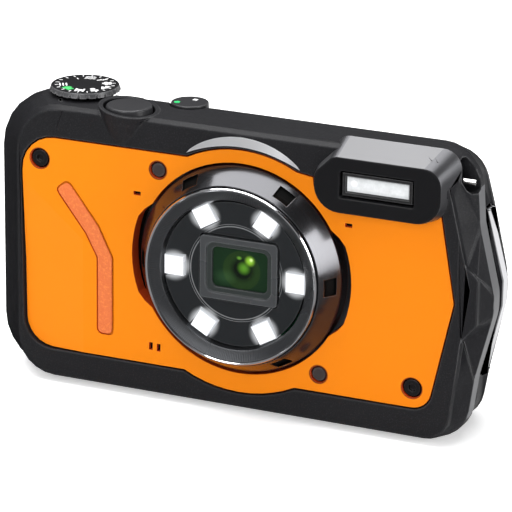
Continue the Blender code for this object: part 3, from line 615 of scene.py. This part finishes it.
# ---- Ring light ----
# Six white lamps stand behind square openings in a dished black plate. The lamps are tabs of one
# milky light guide, and the spill of their light onto the plate round them is painted on as a glow.
LAMP_CIRCLE = 14.3
GREY_RINGS = ((10.6, 0.12), (11.1, 0.05))


def lamp_offset(tree):
    """How far a point is outward and sideways from the nearest lamp's middle, and from the lens axis."""
    across, up = from_lens_axis(tree)
    turn = sum_of(tree, "ADD", sum_of(tree, "ARCTAN2", up, across), math.pi / 6 + math.tau)
    turn = sum_of(tree, "SUBTRACT", sum_of(tree, "MODULO", turn, math.pi / 3), math.pi / 6)
    squared = sum_of(tree, "ADD", sum_of(tree, "MULTIPLY", across, across), sum_of(tree, "MULTIPLY", up, up))
    radius = sum_of(tree, "SQRT", squared)
    outward = sum_of(tree, "SUBTRACT", sum_of(tree, "MULTIPLY", radius, sum_of(tree, "COSINE", turn)),
                     LAMP_CIRCLE * MM)
    sideways = sum_of(tree, "MULTIPLY", radius, sum_of(tree, "SINE", turn))
    return outward, sideways, radius


def painted_lamp_spill(tree):
    """Painted light: a white glow that fades away from each lamp across the plate."""
    outward, sideways = lamp_offset(tree)[:2]
    far = sum_of(tree, "SQRT", sum_of(tree, "ADD", sum_of(tree, "MULTIPLY", outward, outward),
                                      sum_of(tree, "MULTIPLY", sideways, sideways)))
    near = ramp(tree, far, 2.1 * MM, 4.1 * MM, 0.5, 0.0, "SMOOTHERSTEP")
    return blend_colour(tree, near, (0.0, 0.0, 0.0), (0.95, 0.97, 1.0))


def grey_rings(tree, body):
    """Two thin grey rings turned into the plate just inside the lamps."""
    radius = lamp_offset(tree)[2]
    one, two = [sum_of(tree, "COMPARE", radius, place * MM, half * MM) for place, half in GREY_RINGS]
    share = sum_of(tree, "MULTIPLY", sum_of(tree, "MAXIMUM", one, two), 0.45)
    return blend_colour(tree, share, body, (0.3, 0.31, 0.32))


bowl_black = surface("dished plate", (0.012, 0.0135, 0.015), 0.22, grain=3000, depth=0.006, edge=0.4,
                     coat=0.1, tone=grey_rings, emission=painted_lamp_spill, specular=0.22)
finished("ring_light_plate", "ring_light_bowl", [bowl_black], 0.1, 2, 20)


def lamp_glow(tree):
    """Lamps white in the middle and a little greyer at their rims."""
    outward, sideways = lamp_offset(tree)[:2]
    edge = sum_of(tree, "MAXIMUM", sum_of(tree, "ABSOLUTE", outward), sum_of(tree, "ABSOLUTE", sideways))
    rim = ramp(tree, edge, 1.6 * MM, 2.35 * MM, shape="SMOOTHSTEP")
    return blend_colour(tree, rim, (1.5, 1.52, 1.55), (0.3, 0.31, 0.33))


lamp_white = surface("milky guide", (0.35, 0.36, 0.37), 0.3, grain=1500, depth=0.01, emission=lamp_glow)
finished("ring_light_guide", "light_guide", [lamp_white], 0.35, 3)

# ---- Window of the folded lens ----
# A rounded grey frame holds a pane of green-coated glass. Behind it the first element of the folded lens
# looks out; the element, the shade in its middle and two green glints of its coating are painted on the pane,
# the glints as glowing painted reflections.
frame_grey = surface("window frame grey", (0.04, 0.043, 0.046), 0.3, grain=3400, depth=0.006, edge=0.8,
                     specular=0.3)
frame_dark = surface("window frame dark", (0.024, 0.029, 0.028), 0.25, grain=3400, depth=0.006, edge=0.8,
                     specular=0.3)
FRAME_STEPS = ((0, 0.9, -1.6), (0, 0.9, -3.2), (1.35, 1.9, -3.2), (1.5, 1.8, -2.75), (2.55, 1.3, -2.45),
               (2.75, 1.1, -1.7))


def window_surround():
    """The frame: a skin from its back round the flat front and down two steps of (inset, radius, depth)."""
    frame_low, frame_high = box_mm("window_frame")
    outlines = []
    for inset, radius, depth in FRAME_STEPS:
        low, high = frame_low + Vector((inset, 0, inset)), frame_high - Vector((inset, 0, inset))
        corners = [(low.x, low.z, radius), (high.x, low.z, radius), (high.x, high.z, radius),
                   (low.x, high.z, radius)]
        outlines.append(rounded_outline(corners, depth, 6))
    bm, bands = skinned(outlines)
    for index, band in enumerate(bands):
        for face in band:
            face.material_index = 0 if index < 3 else 1
    return settle(bm, "window_surround", "window_frame", [frame_grey, frame_dark], 0.12, 3, 24)


window_surround()
# Painted reflections on the pane: each is its place across and up from the lens axis, inner and outer radius,
# stretch and colour.
PAINTED_GLINTS = ((3.1, 3.0, 0.2, 1.5, 1.0, (0.30, 0.62, 0.04)), (1.7, 1.2, 0.1, 1.9, 1.0, (0.10, 0.30, 0.02)),
          (3.4, 3.3, 0.1, 0.6, 1.0, (0.75, 1.0, 0.35)), (0.6, 3.4, 0.1, 0.8, 1.4, (0.12, 0.3, 0.03)),
          (-2.6, -1.4, 0.3, 3.4, 1.5, (0.012, 0.03, 0.012)))


def pane_tone(tree, body):
    """A dark green pane with the round element behind it painted on, its pale bezel line, and painted shade
    darkening its middle.
    """
    element = round_mask(tree, LENS_X + 1.2, LENS_Z + 0.6, 4.2, 4.6)
    pupil_shade = round_mask(tree, LENS_X + 1.4, LENS_Z + 0.8, 1.6, 3.4)
    tone = blend_colour(tree, element, body, (0.012, 0.03, 0.008))
    return blend_colour(tree, pupil_shade, tone, (0.003, 0.006, 0.003))


def painted_pane_glints(tree):
    """Painted reflections: the green glints of the coating, each a soft glowing spot about a place beside the
    lens axis.
    """
    glow = (0.0, 0.0, 0.0)
    for x, z, inner, outer, stretch, colour in PAINTED_GLINTS:
        spot = round_mask(tree, LENS_X + x, LENS_Z + z, inner, outer, stretch)
        glow = blend_colour(tree, spot, glow, colour)
    return glow


pane_glass = surface("coated glass", (0.006, 0.02, 0.008), 0.05, grain=300, depth=0.002, patch=0.3, edge=0.3,
                     swing=0.02, tone=pane_tone, emission=painted_pane_glints, specular=0.2)
finished("lens_pane", "lens_window", [pane_glass], 0.15, 2)

# ---- Flash ----
# A white ribbed lens in a thin dark frame, with a silvered trough behind it. The glass tube and the light in
# the trough are painted on the lens as a glow: a painted reflection, as the flash is not fired.
FLASH_FRAME = 1.1


def flash_ribs(tree):
    """Upright ribs moulded into the back of the lens."""
    return waves(tree, object_axes(tree)[0], 9000.0)


def painted_flash_glow(tree):
    """Painted reflection of the tube and its trough seen through the lens, glowing though the flash is not
    fired: bright along the middle, round at the left end.
    """
    middle = middle_mm("flash_window").z
    height = sum_of(tree, "ABSOLUTE", sum_of(tree, "SUBTRACT", object_axes(tree)[2], middle * MM))
    along = ramp(tree, height, 0.7 * MM, 1.9 * MM, 0.92, 0.42)
    streak = add_node(tree, "ShaderNodeTexNoise", Vector=object_place(tree), Scale=700.0,
                      Detail=3.0).outputs[0]
    tube_end = round_mask(tree, flash_low.x + 2.6, middle + 0.3, 0.5, 0.9)
    level = sum_of(tree, "MULTIPLY", along, sum_of(tree, "MULTIPLY_ADD", streak, 0.7, 0.55))
    level = sum_of(tree, "MINIMUM", level, 1.0)
    white = blend_colour(tree, level, (0.02, 0.022, 0.024), (0.62, 0.64, 0.65))
    return blend_colour(tree, tube_end, white, (0.8, 0.8, 0.8))


flash_white = surface("flash lens white", (0.25, 0.255, 0.26), 0.14, grain=1200, depth=0.08, edge=0.2,
                      coat=0.4, bump=flash_ribs, emission=painted_flash_glow)
flash_dark = surface("flash frame black", (0.012, 0.012, 0.013), 0.25, grain=3000, depth=0.01, edge=0.8)


def flash_lens():
    """The lens: a box whose front is inset twice, for a dark frame, a fine groove and a proud white pane."""
    bm = bmesh.new()
    size, middle = (flash_high - flash_low) * MM, (flash_low + flash_high) / 2 * MM
    bmesh.ops.create_cube(bm, size=1.0, matrix=Matrix.Translation(middle) @ Matrix.Diagonal((*size, 1)))
    for face in bm.faces:
        face.material_index = 1
    front = min(bm.faces, key=lambda face: face.calc_center_median().y)
    bmesh.ops.inset_region(bm, faces=[front], thickness=FLASH_FRAME * MM)
    bmesh.ops.inset_region(bm, faces=[front], thickness=0.001 * MM, depth=-0.5 * MM)
    bmesh.ops.inset_region(bm, faces=[front], thickness=0.2 * MM)
    front.material_index = 0
    for face in front.edges[0].link_faces:
        face.material_index = 0
    bmesh.ops.inset_region(bm, faces=[front], thickness=0.15 * MM, depth=0.3 * MM)
    return settle(bm, "flash_lens", "flash_window", [flash_white, flash_dark], 0.08, 2)


flash_lens()
silvered = surface("silvered trough", (0.8, 0.8, 0.82), 0.15, 1.0, grain=1500, depth=0.01, edge=0.2)
finished("flash_trough", "flash_reflector", [silvered], 0.1)

# ---- Strap bar and side trim ----
# A steel pin across the strap pocket, and a bright chromed bar let into the groove of the right side.
pin_steel = surface("pin steel", (0.62, 0.61, 0.6), 0.2, 1.0, grain=3000, depth=0.006, edge=0.3)
finished("strap_pin", "strap_bar", [pin_steel], 0.1)
finished("side_chrome", "side_trim_bar", [chrome], 0.35, 3)

# ---- Mode dial ----
# A knurled plastic knob on a post, its top printed with white pictures for the modes, one of them green.
DIAL_X, DIAL_Y = middle_mm("mode_dial").xy
DIAL_TOP = box_mm("mode_dial")[1].z
RIM_RADIUS, RIM_FOOT, PRINT_THICK = 7.2, 62, 0.06
dial_black = surface("dial black", (0.008, 0.008, 0.009), 0.42, grain=3400, depth=0.03, edge=0.7,
                     specular=0.12)
# The knurled rim is lighter than the knob and its edges strongly lightened: painted highlights of the knurls,
# with some wear.
dial_rim_lit_and_worn = surface("dial rim", (0.05, 0.05, 0.053), 0.28, grain=3400, depth=0.02, edge=5.0)
print_white = surface("printed white", (0.8, 0.8, 0.8), 0.5, grain=5000, depth=0.004, edge=0.0)
print_green = surface("printed green", (0.05, 0.5, 0.12), 0.5, grain=5000, depth=0.004, edge=0.0)


def mode_dial():
    """The knob, its top lowered by the thickness of the print."""
    bm = merged_copy("mode_dial")
    for vert in bm.verts:
        if vert.co.z / MM > DIAL_TOP - 0.01:
            vert.co.z -= PRINT_THICK * MM
    for face in bm.faces:
        spot = face.calc_center_median() / MM
        far = math.hypot(spot.x - DIAL_X, spot.y - DIAL_Y)
        face.material_index = 1 if far > RIM_RADIUS and spot.z > RIM_FOOT and abs(face.normal.z) < 0.6 else 0
    return settle(bm, "dial_knob", "mode_dial", [dial_black, dial_rim_lit_and_worn], 0.18, 2)


mode_dial()


def disc(bm, x, y, radius, sides=20, turn=0.0, inner=0.0):
    """A flat many-sided disc, or a ring if inner is given, in the plane z = 0."""
    placed = Matrix.Translation((x, y, 0)) @ Matrix.Rotation(turn, 4, "Z")
    made = bmesh.ops.create_circle(bm, cap_ends=True, segments=sides, radius=radius, matrix=placed)
    face = made["verts"][0].link_faces[0]
    if inner:
        bmesh.ops.inset_region(bm, faces=[face], thickness=radius - inner)
        bmesh.ops.delete(bm, geom=[face], context="FACES")


def bar(bm, x, y, width, height, turn=0.0):
    """A flat rectangle in the plane z = 0."""
    placed = (Matrix.Translation((x, y, 0)) @ Matrix.Rotation(turn, 4, "Z")
              @ Matrix.Diagonal((width / 2, height / 2, 1, 1)))
    bmesh.ops.create_grid(bm, x_segments=1, y_segments=1, size=1.0, matrix=placed)


PICTURES = {
    "camera": [(bar, 0, -0.1, 2.0, 1.3), (bar, -0.3, 0.72, 0.8, 0.3)],
    "film": [(bar, -0.7, 0, 0.35, 1.7), (bar, 0.7, 0, 0.35, 1.7), (bar, 0, 0, 0.9, 0.9)],
    "moon": [(disc, 0, 0, 0.95, 24, 0.0, 0.5)],
    "flower": [(disc, 0.62 * math.cos(angle), 0.62 * math.sin(angle), 0.36, 12)
               for angle in [math.tau * index / 5 + 0.3 for index in range(5)]] + [(disc, 0, 0, 0.25, 12)],
    "hill": [(disc, -0.35, -0.2, 0.95, 3, math.pi / 2), (disc, 0.55, -0.35, 0.7, 3, math.pi / 2)],
    "waves": [(bar, -0.75 + 0.5 * index, row, 0.6, 0.2, 0.5 if index % 2 else -0.5)
              for row in (-0.6, 0.0, 0.6) for index in range(4)],
    "face": [(disc, 0, 0.45, 0.5, 16), (bar, 0, -0.55, 1.5, 0.7)],
    "bin": [(bar, 0, -0.2, 1.0, 1.3), (bar, 0, 0.65, 1.5, 0.22)],
    "play": [(disc, 0, 0, 0.95, 3)],
    "dot": [(disc, 0, 0, 0.85, 24)],
    "bolt": [(bar, 0.18, 0.45, 0.35, 1.1, -0.5), (bar, -0.18, -0.45, 0.35, 1.1, -0.5),
             (bar, 0, 0, 0.9, 0.25)],
    "timer": [(disc, 0, 0, 0.95, 24, 0.0, 0.72), (bar, 0, 0.3, 0.2, 0.7)],
    "list": [(bar, 0, row, 1.7, 0.28) for row in (-0.6, 0.0, 0.6)],
    "power": [(disc, 0, 0, 1.0, 24, 0.0, 0.74), (bar, 0, 0.85, 0.55, 0.5)],
    "wide": [(disc, x, y - 0.3, 0.24, 3, math.pi / 2)
             for x, y in ((-0.5, 0), (0, 0), (0.5, 0), (-0.25, 0.5), (0.25, 0.5), (0, 0.95))],
    "tick": [(bar, 0, 0, 1.6, 0.5)],
    "near": [(disc, 0, -0.05, 1.0, 3, math.pi / 2)],
}


def picture(kind):
    """A little flat picture about 2 mm across, centred on the origin, in millimetres."""
    bm = bmesh.new()
    for maker, *sizes in PICTURES[kind]:
        maker(bm, *sizes)
    return bm


def printed(name, node, pictures, material, face="top", thick=PRINT_THICK):
    """Prints pictures on a piece: each is (kind, place in mm of its lower side, size, turn)."""
    whole = bmesh.new()
    for kind, place, size, turn in pictures:
        bm = picture(kind)
        bmesh.ops.recalc_face_normals(bm, faces=bm.faces)
        grown = bmesh.ops.extrude_face_region(bm, geom=bm.faces[:])
        upper = [item for item in grown["geom"] if isinstance(item, bmesh.types.BMVert)]
        bmesh.ops.translate(bm, verts=upper, vec=(0, 0, thick / size))
        stand = Matrix.Rotation(turn, 4, "Z")
        if face == "back":
            stand = Matrix.Rotation(math.pi, 4, "Z") @ Matrix.Rotation(math.pi / 2, 4, "X") @ stand
        bm.transform(Matrix.Scale(MM, 4) @ Matrix.Translation(place) @ stand @ Matrix.Scale(size, 4))
        bmesh.ops.recalc_face_normals(bm, faces=bm.faces)
        part = bpy.data.meshes.new("part")
        bm.to_mesh(part)
        bm.free()
        whole.from_mesh(part)
        bpy.data.meshes.remove(part)
    return settle(whole, name, node, [material], stands_for=False)


def round_the_dial(kinds, radius, size, turn):
    """Pictures set evenly round the top of the dial."""
    marks = []
    for index, kind in enumerate(kinds):
        angle = math.tau * index / len(kinds) - 2.0
        x, y = DIAL_X + radius * math.cos(angle), DIAL_Y + radius * math.sin(angle)
        marks.append((kind, Vector((x, y, DIAL_TOP - PRINT_THICK)), size, angle + turn))
    return marks


DIAL_MODES = ["camera", "film", "face", "hill", "flower", "bolt", "waves", "timer", "moon", "list"]
dial_marks = round_the_dial(DIAL_MODES, 4.9, 1.2, math.pi / 2)
dial_marks += round_the_dial(["tick"] * 20, 6.35, 0.5, 0.0)
printed("dial_print_white", "mode_dial", dial_marks[1:], print_white)
printed("dial_print_green", "mode_dial", dial_marks[:1], print_green)

# ---- Shutter and power buttons ----
# The shutter button is a broad plastic cap in a raised collar. The power button beside it is flush,
# ringed with a line of print, with a small green lamp in its edge.
cap_black = surface("button cap", (0.022, 0.022, 0.024), 0.36, grain=3800, depth=0.02, edge=1.2, specular=0.3)
finished("shutter_cap", "shutter_button", [cap_black], 0.45, 4)
finished("power_cap", "power_button", [cap_black], 0.3, 3)
power_low, power_high = box_mm("power_button")
POWER_TOP = Vector(((power_low.x + power_high.x) / 2, (power_low.y + power_high.y) / 2, power_high.z))
printed("power_print", "power_button", [("power", POWER_TOP + Vector((0.6, 0, 0)), 1.9, 0.0)], print_white)


def green_light(tree):
    """An even green glow, a little brighter in its middle."""
    spots = add_node(tree, "ShaderNodeTexNoise", Vector=object_place(tree), Scale=900.0).outputs[0]
    return blend_colour(tree, spots, (0.0, 0.25, 0.06), (0.05, 0.5, 0.16))


lamp_green = surface("green lamp", (0.02, 0.35, 0.1), 0.2, grain=800, depth=0.004, edge=0.1,
                     emission=green_light)
printed("power_lamp", "power_button", [("dot", POWER_TOP - Vector((2.4, 1.6, 0)), 0.8, 0.0)], lamp_green)

# ---- Rear: monitor, buttons and rocker ----
# A glossy pane covers the display. Beside it are rubbery round keys with printed pictures, a four-way
# pad round a central key, and a rocker for the zoom over moulded studs for the thumb.
def display_border(tree, body):
    """Black paint on the back of the pane, all round the clear part over the display."""
    low, high = box_mm("monitor_panel")
    half = (high - low) / 2 * MM
    moved = vector_sum(tree, "SUBTRACT", object_place(tree), (low + high) / 2 * MM)[0]
    size = vector_sum(tree, "ABSOLUTE", moved)[0]
    parts = add_node(tree, "ShaderNodeSeparateXYZ", [], [size]).outputs
    over = sum_of(tree, "MAXIMUM", sum_of(tree, "SUBTRACT", parts[0], half.x),
                  sum_of(tree, "SUBTRACT", parts[2], half.z))
    return blend_colour(tree, ramp(tree, over, -0.2 * MM, 0.2 * MM, 1.0, 0.0), body, (0.03, 0.034, 0.042))


pane_black = surface("monitor glass", (0.004, 0.004, 0.005), 0.05, grain=200, depth=0.002, edge=0.3,
                     swing=0.02, coat=0.4, tone=display_border)
finished("monitor_pane", "monitor_window", [pane_black], 0.3, 3)
key_rubber = surface("key rubber", (0.03, 0.03, 0.032), 0.5, grain=3000, depth=0.03, edge=0.8)
KEYS = {"playback_button": "play", "movie_button": "film", "menu_button": "list", "delete_button": "bin",
        "ok_button": "dot", "pad_left": "flower", "pad_up": "timer", "pad_right": "bolt",
        "pad_down": "camera"}
KEY_PRINT = 0.04


def key_cap(node):
    """A key, its face lowered by the thickness of the print."""
    bm = merged_copy(node)
    face_y = box_mm(node)[1].y
    for vert in bm.verts:
        if vert.co.y / MM > face_y - 0.01:
            vert.co.y -= KEY_PRINT * MM
    return settle(bm, node + "_cap", node, [key_rubber], 0.3, 3)


for node, kind in KEYS.items():
    key_cap(node)
    key_low, key_high = box_mm(node)
    spot = Vector(((key_low.x + key_high.x) / 2, key_high.y - KEY_PRINT, (key_low.z + key_high.z) / 2))
    printed(node + "_print", node, [(kind, spot, 0.75, 0.0)], print_white, "back", KEY_PRINT)
finished("zoom_rocker_cap", "zoom_rocker", [key_rubber], 0.4, 4)
ROCKER_PRINT, ROCKER_MARGIN = 0.03, 2.2
rocker_low, rocker_high = box_mm("zoom_rocker")
rocker_y = rocker_high.y - ROCKER_PRINT
rocker_z = (rocker_low.z + rocker_high.z) / 2
rocker_marks = [("wide", Vector((rocker_high.x - ROCKER_MARGIN, rocker_y, rocker_z)), 0.75, 0.0),
                ("near", Vector((rocker_low.x + ROCKER_MARGIN, rocker_y, rocker_z)), 0.85, 0.0)]
printed("rocker_print", "zoom_rocker", rocker_marks, print_white, "back", ROCKER_PRINT)
STUD_X, STUD_Z, STUD_STEP_X, STUD_STEP_Z = -43.5, 39.6, 3.4, 2.9


def thumb_studs():
    """Twelve low round studs on the rear shell, every second row set over by a millimetre."""
    bm = bmesh.new()
    back = box_mm("rear_shell")[1].y - 0.05
    for column in range(4):
        for row in range(3):
            spot = Vector((STUD_X + STUD_STEP_X * column + row % 2, back, STUD_Z + STUD_STEP_Z * row)) * MM
            stand = Matrix.Translation(spot) @ Matrix.Diagonal((1, 0.45, 1, 1))
            bmesh.ops.create_uvsphere(bm, u_segments=16, v_segments=8, radius=0.95 * MM, matrix=stand)
    return settle(bm, "thumb_studs", "rear_shell", [key_rubber], stands_for=False)


thumb_studs()

# ---- Side door ----
# The door over the battery and the card is a plastic lid with a seal of blue-grey silicone. It turns on a
# steel pin, and a ribbed sliding lock holds it shut.
door_plastic = surface("door plastic", (0.028, 0.028, 0.03), 0.45, grain=3400, depth=0.05, edge=0.55,
                       speck=0.2)
seal_rubber = surface("seal rubber", (0.1, 0.13, 0.17), 0.55, grain=2000, depth=0.02, edge=0.2)
lock_amber = surface("lock orange", (0.75, 0.19, 0.01), 0.42, grain=3000, depth=0.03, edge=0.5)
door_lid = finished("door_lid", "side_door", [door_plastic], 0.12, 2)
door_lid.modifiers["rounded edges"].use_clamp_overlap = True
finished("door_gasket", "door_seal", [seal_rubber], 0.12)
finished("door_lock_slider", "lock_slider", [lock_amber], 0.04, 1)
finished("door_pin", "hinge_pin", [pin_steel], 0.06)

# ---- Tripod socket ----
# A brass-cored steel bush moulded into the base, with a quarter-inch thread.


def socket_thread(tree):
    """The thread seen as close ridges up the bore."""
    return waves(tree, object_axes(tree)[2], 4950.0)


bush_steel = surface("bush steel", (0.5, 0.49, 0.47), 0.28, 1.0, grain=3000, depth=0.3, edge=0.3,
                     bump=socket_thread)
finished("tripod_bush", "tripod_socket", [bush_steel], 0.1)

# ---- Inside ----
# Parts that show when the door is open or the camera is taken apart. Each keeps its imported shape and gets
# the finish of the real part: printed boards, foil-wrapped cells, ground rods, glass and pressed metal.


def board_tracks(tree, body):
    """Lighter copper tracks under the green mask of a printed board."""
    cells = add_node(tree, "ShaderNodeTexVoronoi", [("distance", "CHEBYCHEV"), ("feature", "F1")],
                     Vector=object_place(tree), Scale=420.0)
    return blend_colour(tree, ramp(tree, cells.outputs["Distance"], 0.36, 0.42), body, (0.03, 0.2, 0.09))


def brushed(tree):
    """Long fine scratches from grinding."""
    long = add_node(tree, "ShaderNodeMapping", Vector=object_place(tree), Scale=(60, 2500, 2500))
    return add_node(tree, "ShaderNodeTexNoise", Vector=long.outputs[0], Scale=1.0, Detail=3.0).outputs[0]


board_green = surface("printed board", (0.008, 0.09, 0.045), 0.35, grain=2500, depth=0.03, edge=0.4,
                      tone=board_tracks)
pressed_steel = surface("pressed steel", (0.5, 0.5, 0.51), 0.32, 1.0, grain=3000, depth=0.03, edge=0.3,
                        bump=brushed)
ground_steel = surface("ground rod", (0.66, 0.66, 0.67), 0.16, 1.0, grain=3000, depth=0.01, edge=0.2,
                       bump=brushed)
inner_black = surface("inner black", (0.02, 0.02, 0.021), 0.55, grain=2500, depth=0.04, edge=0.4)
cell_wrap = surface("cell wrap", (0.03, 0.035, 0.06), 0.4, grain=900, depth=0.03, edge=0.3)
card_blue = surface("card blue", (0.02, 0.05, 0.16), 0.42, grain=2800, depth=0.02, edge=0.4)
lens_glass = surface("coated element", (0.02, 0.04, 0.05), 0.04, grain=200, depth=0.001, edge=0.3, swing=0.01,
                     coat=0.5)
brass = surface("brass", (0.62, 0.43, 0.16), 0.25, 1.0, grain=3000, depth=0.02, edge=0.3, bump=brushed)
sensor_blue = surface("sensor", (0.03, 0.03, 0.09), 0.12, grain=5000, depth=0.01, edge=0.4)
can_sleeve = surface("capacitor sleeve", (0.03, 0.03, 0.035), 0.22, grain=1200, depth=0.01, edge=0.3)
display_back = surface("display back", (0.35, 0.35, 0.36), 0.3, 0.8, grain=2500, depth=0.02, edge=0.3,
                       bump=brushed)
INSIDE = {
    "battery_bay": inner_black, "battery": cell_wrap, "memory_card": card_blue, "speaker": inner_black,
    "lens_unit_case": inner_black, "objective_lens": lens_glass, "prism": lens_glass,
    "guide_rod_upper": ground_steel, "guide_rod_lower": ground_steel, "lead_screw": brass,
    "zoom_motor": pressed_steel, "zoom_carriage": inner_black, "zoom_lens": lens_glass,
    "image_sensor": sensor_blue, "main_board": board_green, "chassis_plate": pressed_steel,
    "monitor_panel": display_back, "flash_capacitor": can_sleeve, "top_switch_board": board_green,
}
for node, material in INSIDE.items():
    for slot in frame["nodes"][node].material_slots:
        slot.material = material

# ---- Studio ----
# A pale table under a broad overhead softbox, with a large soft light in front and a narrow one at the
# right. It is seen through a long lens from the front right, a little from above.
AZIMUTH, ELEVATION, ROLL, DISTANCE = 22.568, 19.582, 0.81, 0.702
aim = Vector((6.3, FACE_Y, 37.3)) * MM
view = bpy.data.cameras.new("view camera")
view.sensor_width = 36.0
view.lens = 227.7
view.clip_start, view.clip_end = 0.05, 50.0
camera = link("view_camera", view)
turn = Euler((math.radians(90 - ELEVATION), 0, math.radians(AZIMUTH))).to_matrix() @ Matrix.Rotation(
    math.radians(ROLL), 3, "Z")
camera.matrix_world = Matrix.Translation(aim + turn @ Vector((0, 0, DISTANCE))) @ turn.to_4x4()
bpy.context.scene.camera = camera
bpy.context.scene.view_settings.view_transform = "Standard"

table = bmesh.new()
bmesh.ops.create_grid(table, x_segments=1, y_segments=1, size=4.0)
bmesh.ops.translate(table, verts=table.verts, vec=(0, 0, -0.0002))
table_mesh = bpy.data.meshes.new("table_top")
table.to_mesh(table_mesh)
table.free()
table_top = link("table_top", table_mesh)
table_white = surface("table white", (0.9, 0.9, 0.9), 0.85, grain=300, depth=0.01, patch=0.02, edge=0.0)
table_mesh.materials.append(table_white)
table_shader = table_white.node_tree.nodes["Principled BSDF"]
table_shader.inputs["Emission Color"].default_value = (1.0, 1.0, 1.0, 1.0)
table_shader.inputs["Emission Strength"].default_value = 0.45
table_top.visible_glossy = False


def softbox(name, place, target, size, power):
    """A rectangular light at a place, turned to face a target."""
    light = bpy.data.lights.new(name, "AREA")
    light.shape = "RECTANGLE"
    light.size, light.size_y = size
    light.energy = power
    holder = link(name, light)
    holder.location = place
    holder.rotation_euler = (Vector(place) - Vector(target)).to_track_quat("Z", "Y").to_euler()


softbox("overhead_box", (-0.15, 0.05, 0.8), (-0.1, 0, 0), (0.9, 0.8), 12.5)
softbox("front_box", (-0.1, -1.0, 0.7), (0, 0, 0.03), (0.8, 0.6), 6.0)
softbox("right_box", (1.0, -0.15, 0.25), (0, 0, 0.03), (0.3, 0.7), 6)

# The room: even grey, dark at the upper right and at the far left, and bright at the far right.
ROOM_GREY = (0.27, 0.27, 0.275)
ROOM_PATCHES = (((0.69, -0.08, 0.72), 0.75, 0.93, (0.0, 0.0, 0.0)),
                ((-0.67, 0.66, -0.33), 0.5, 0.9, (0.0, 0.0, 0.0)),
                ((0.36, 0.87, -0.33), 0.88, 0.96, (1.0, 1.0, 1.0)))
sky = bpy.data.worlds.new("studio")
sky.use_nodes = True
sky_tree = sky.node_tree
around = add_node(sky_tree, "ShaderNodeTexCoord").outputs["Generated"]
sky_tone = ROOM_GREY
for direction, start, full, colour in ROOM_PATCHES:
    toward = vector_sum(sky_tree, "DOT_PRODUCT", around, direction)["Value"]
    sky_tone = blend_colour(sky_tree, ramp(sky_tree, toward, start, full), sky_tone, colour)
sky_tree.links.new(sky_tone, sky_tree.nodes["Background"].inputs["Color"])
sky_tree.nodes["Background"].inputs["Strength"].default_value = 1.0
bpy.context.scene.world = sky
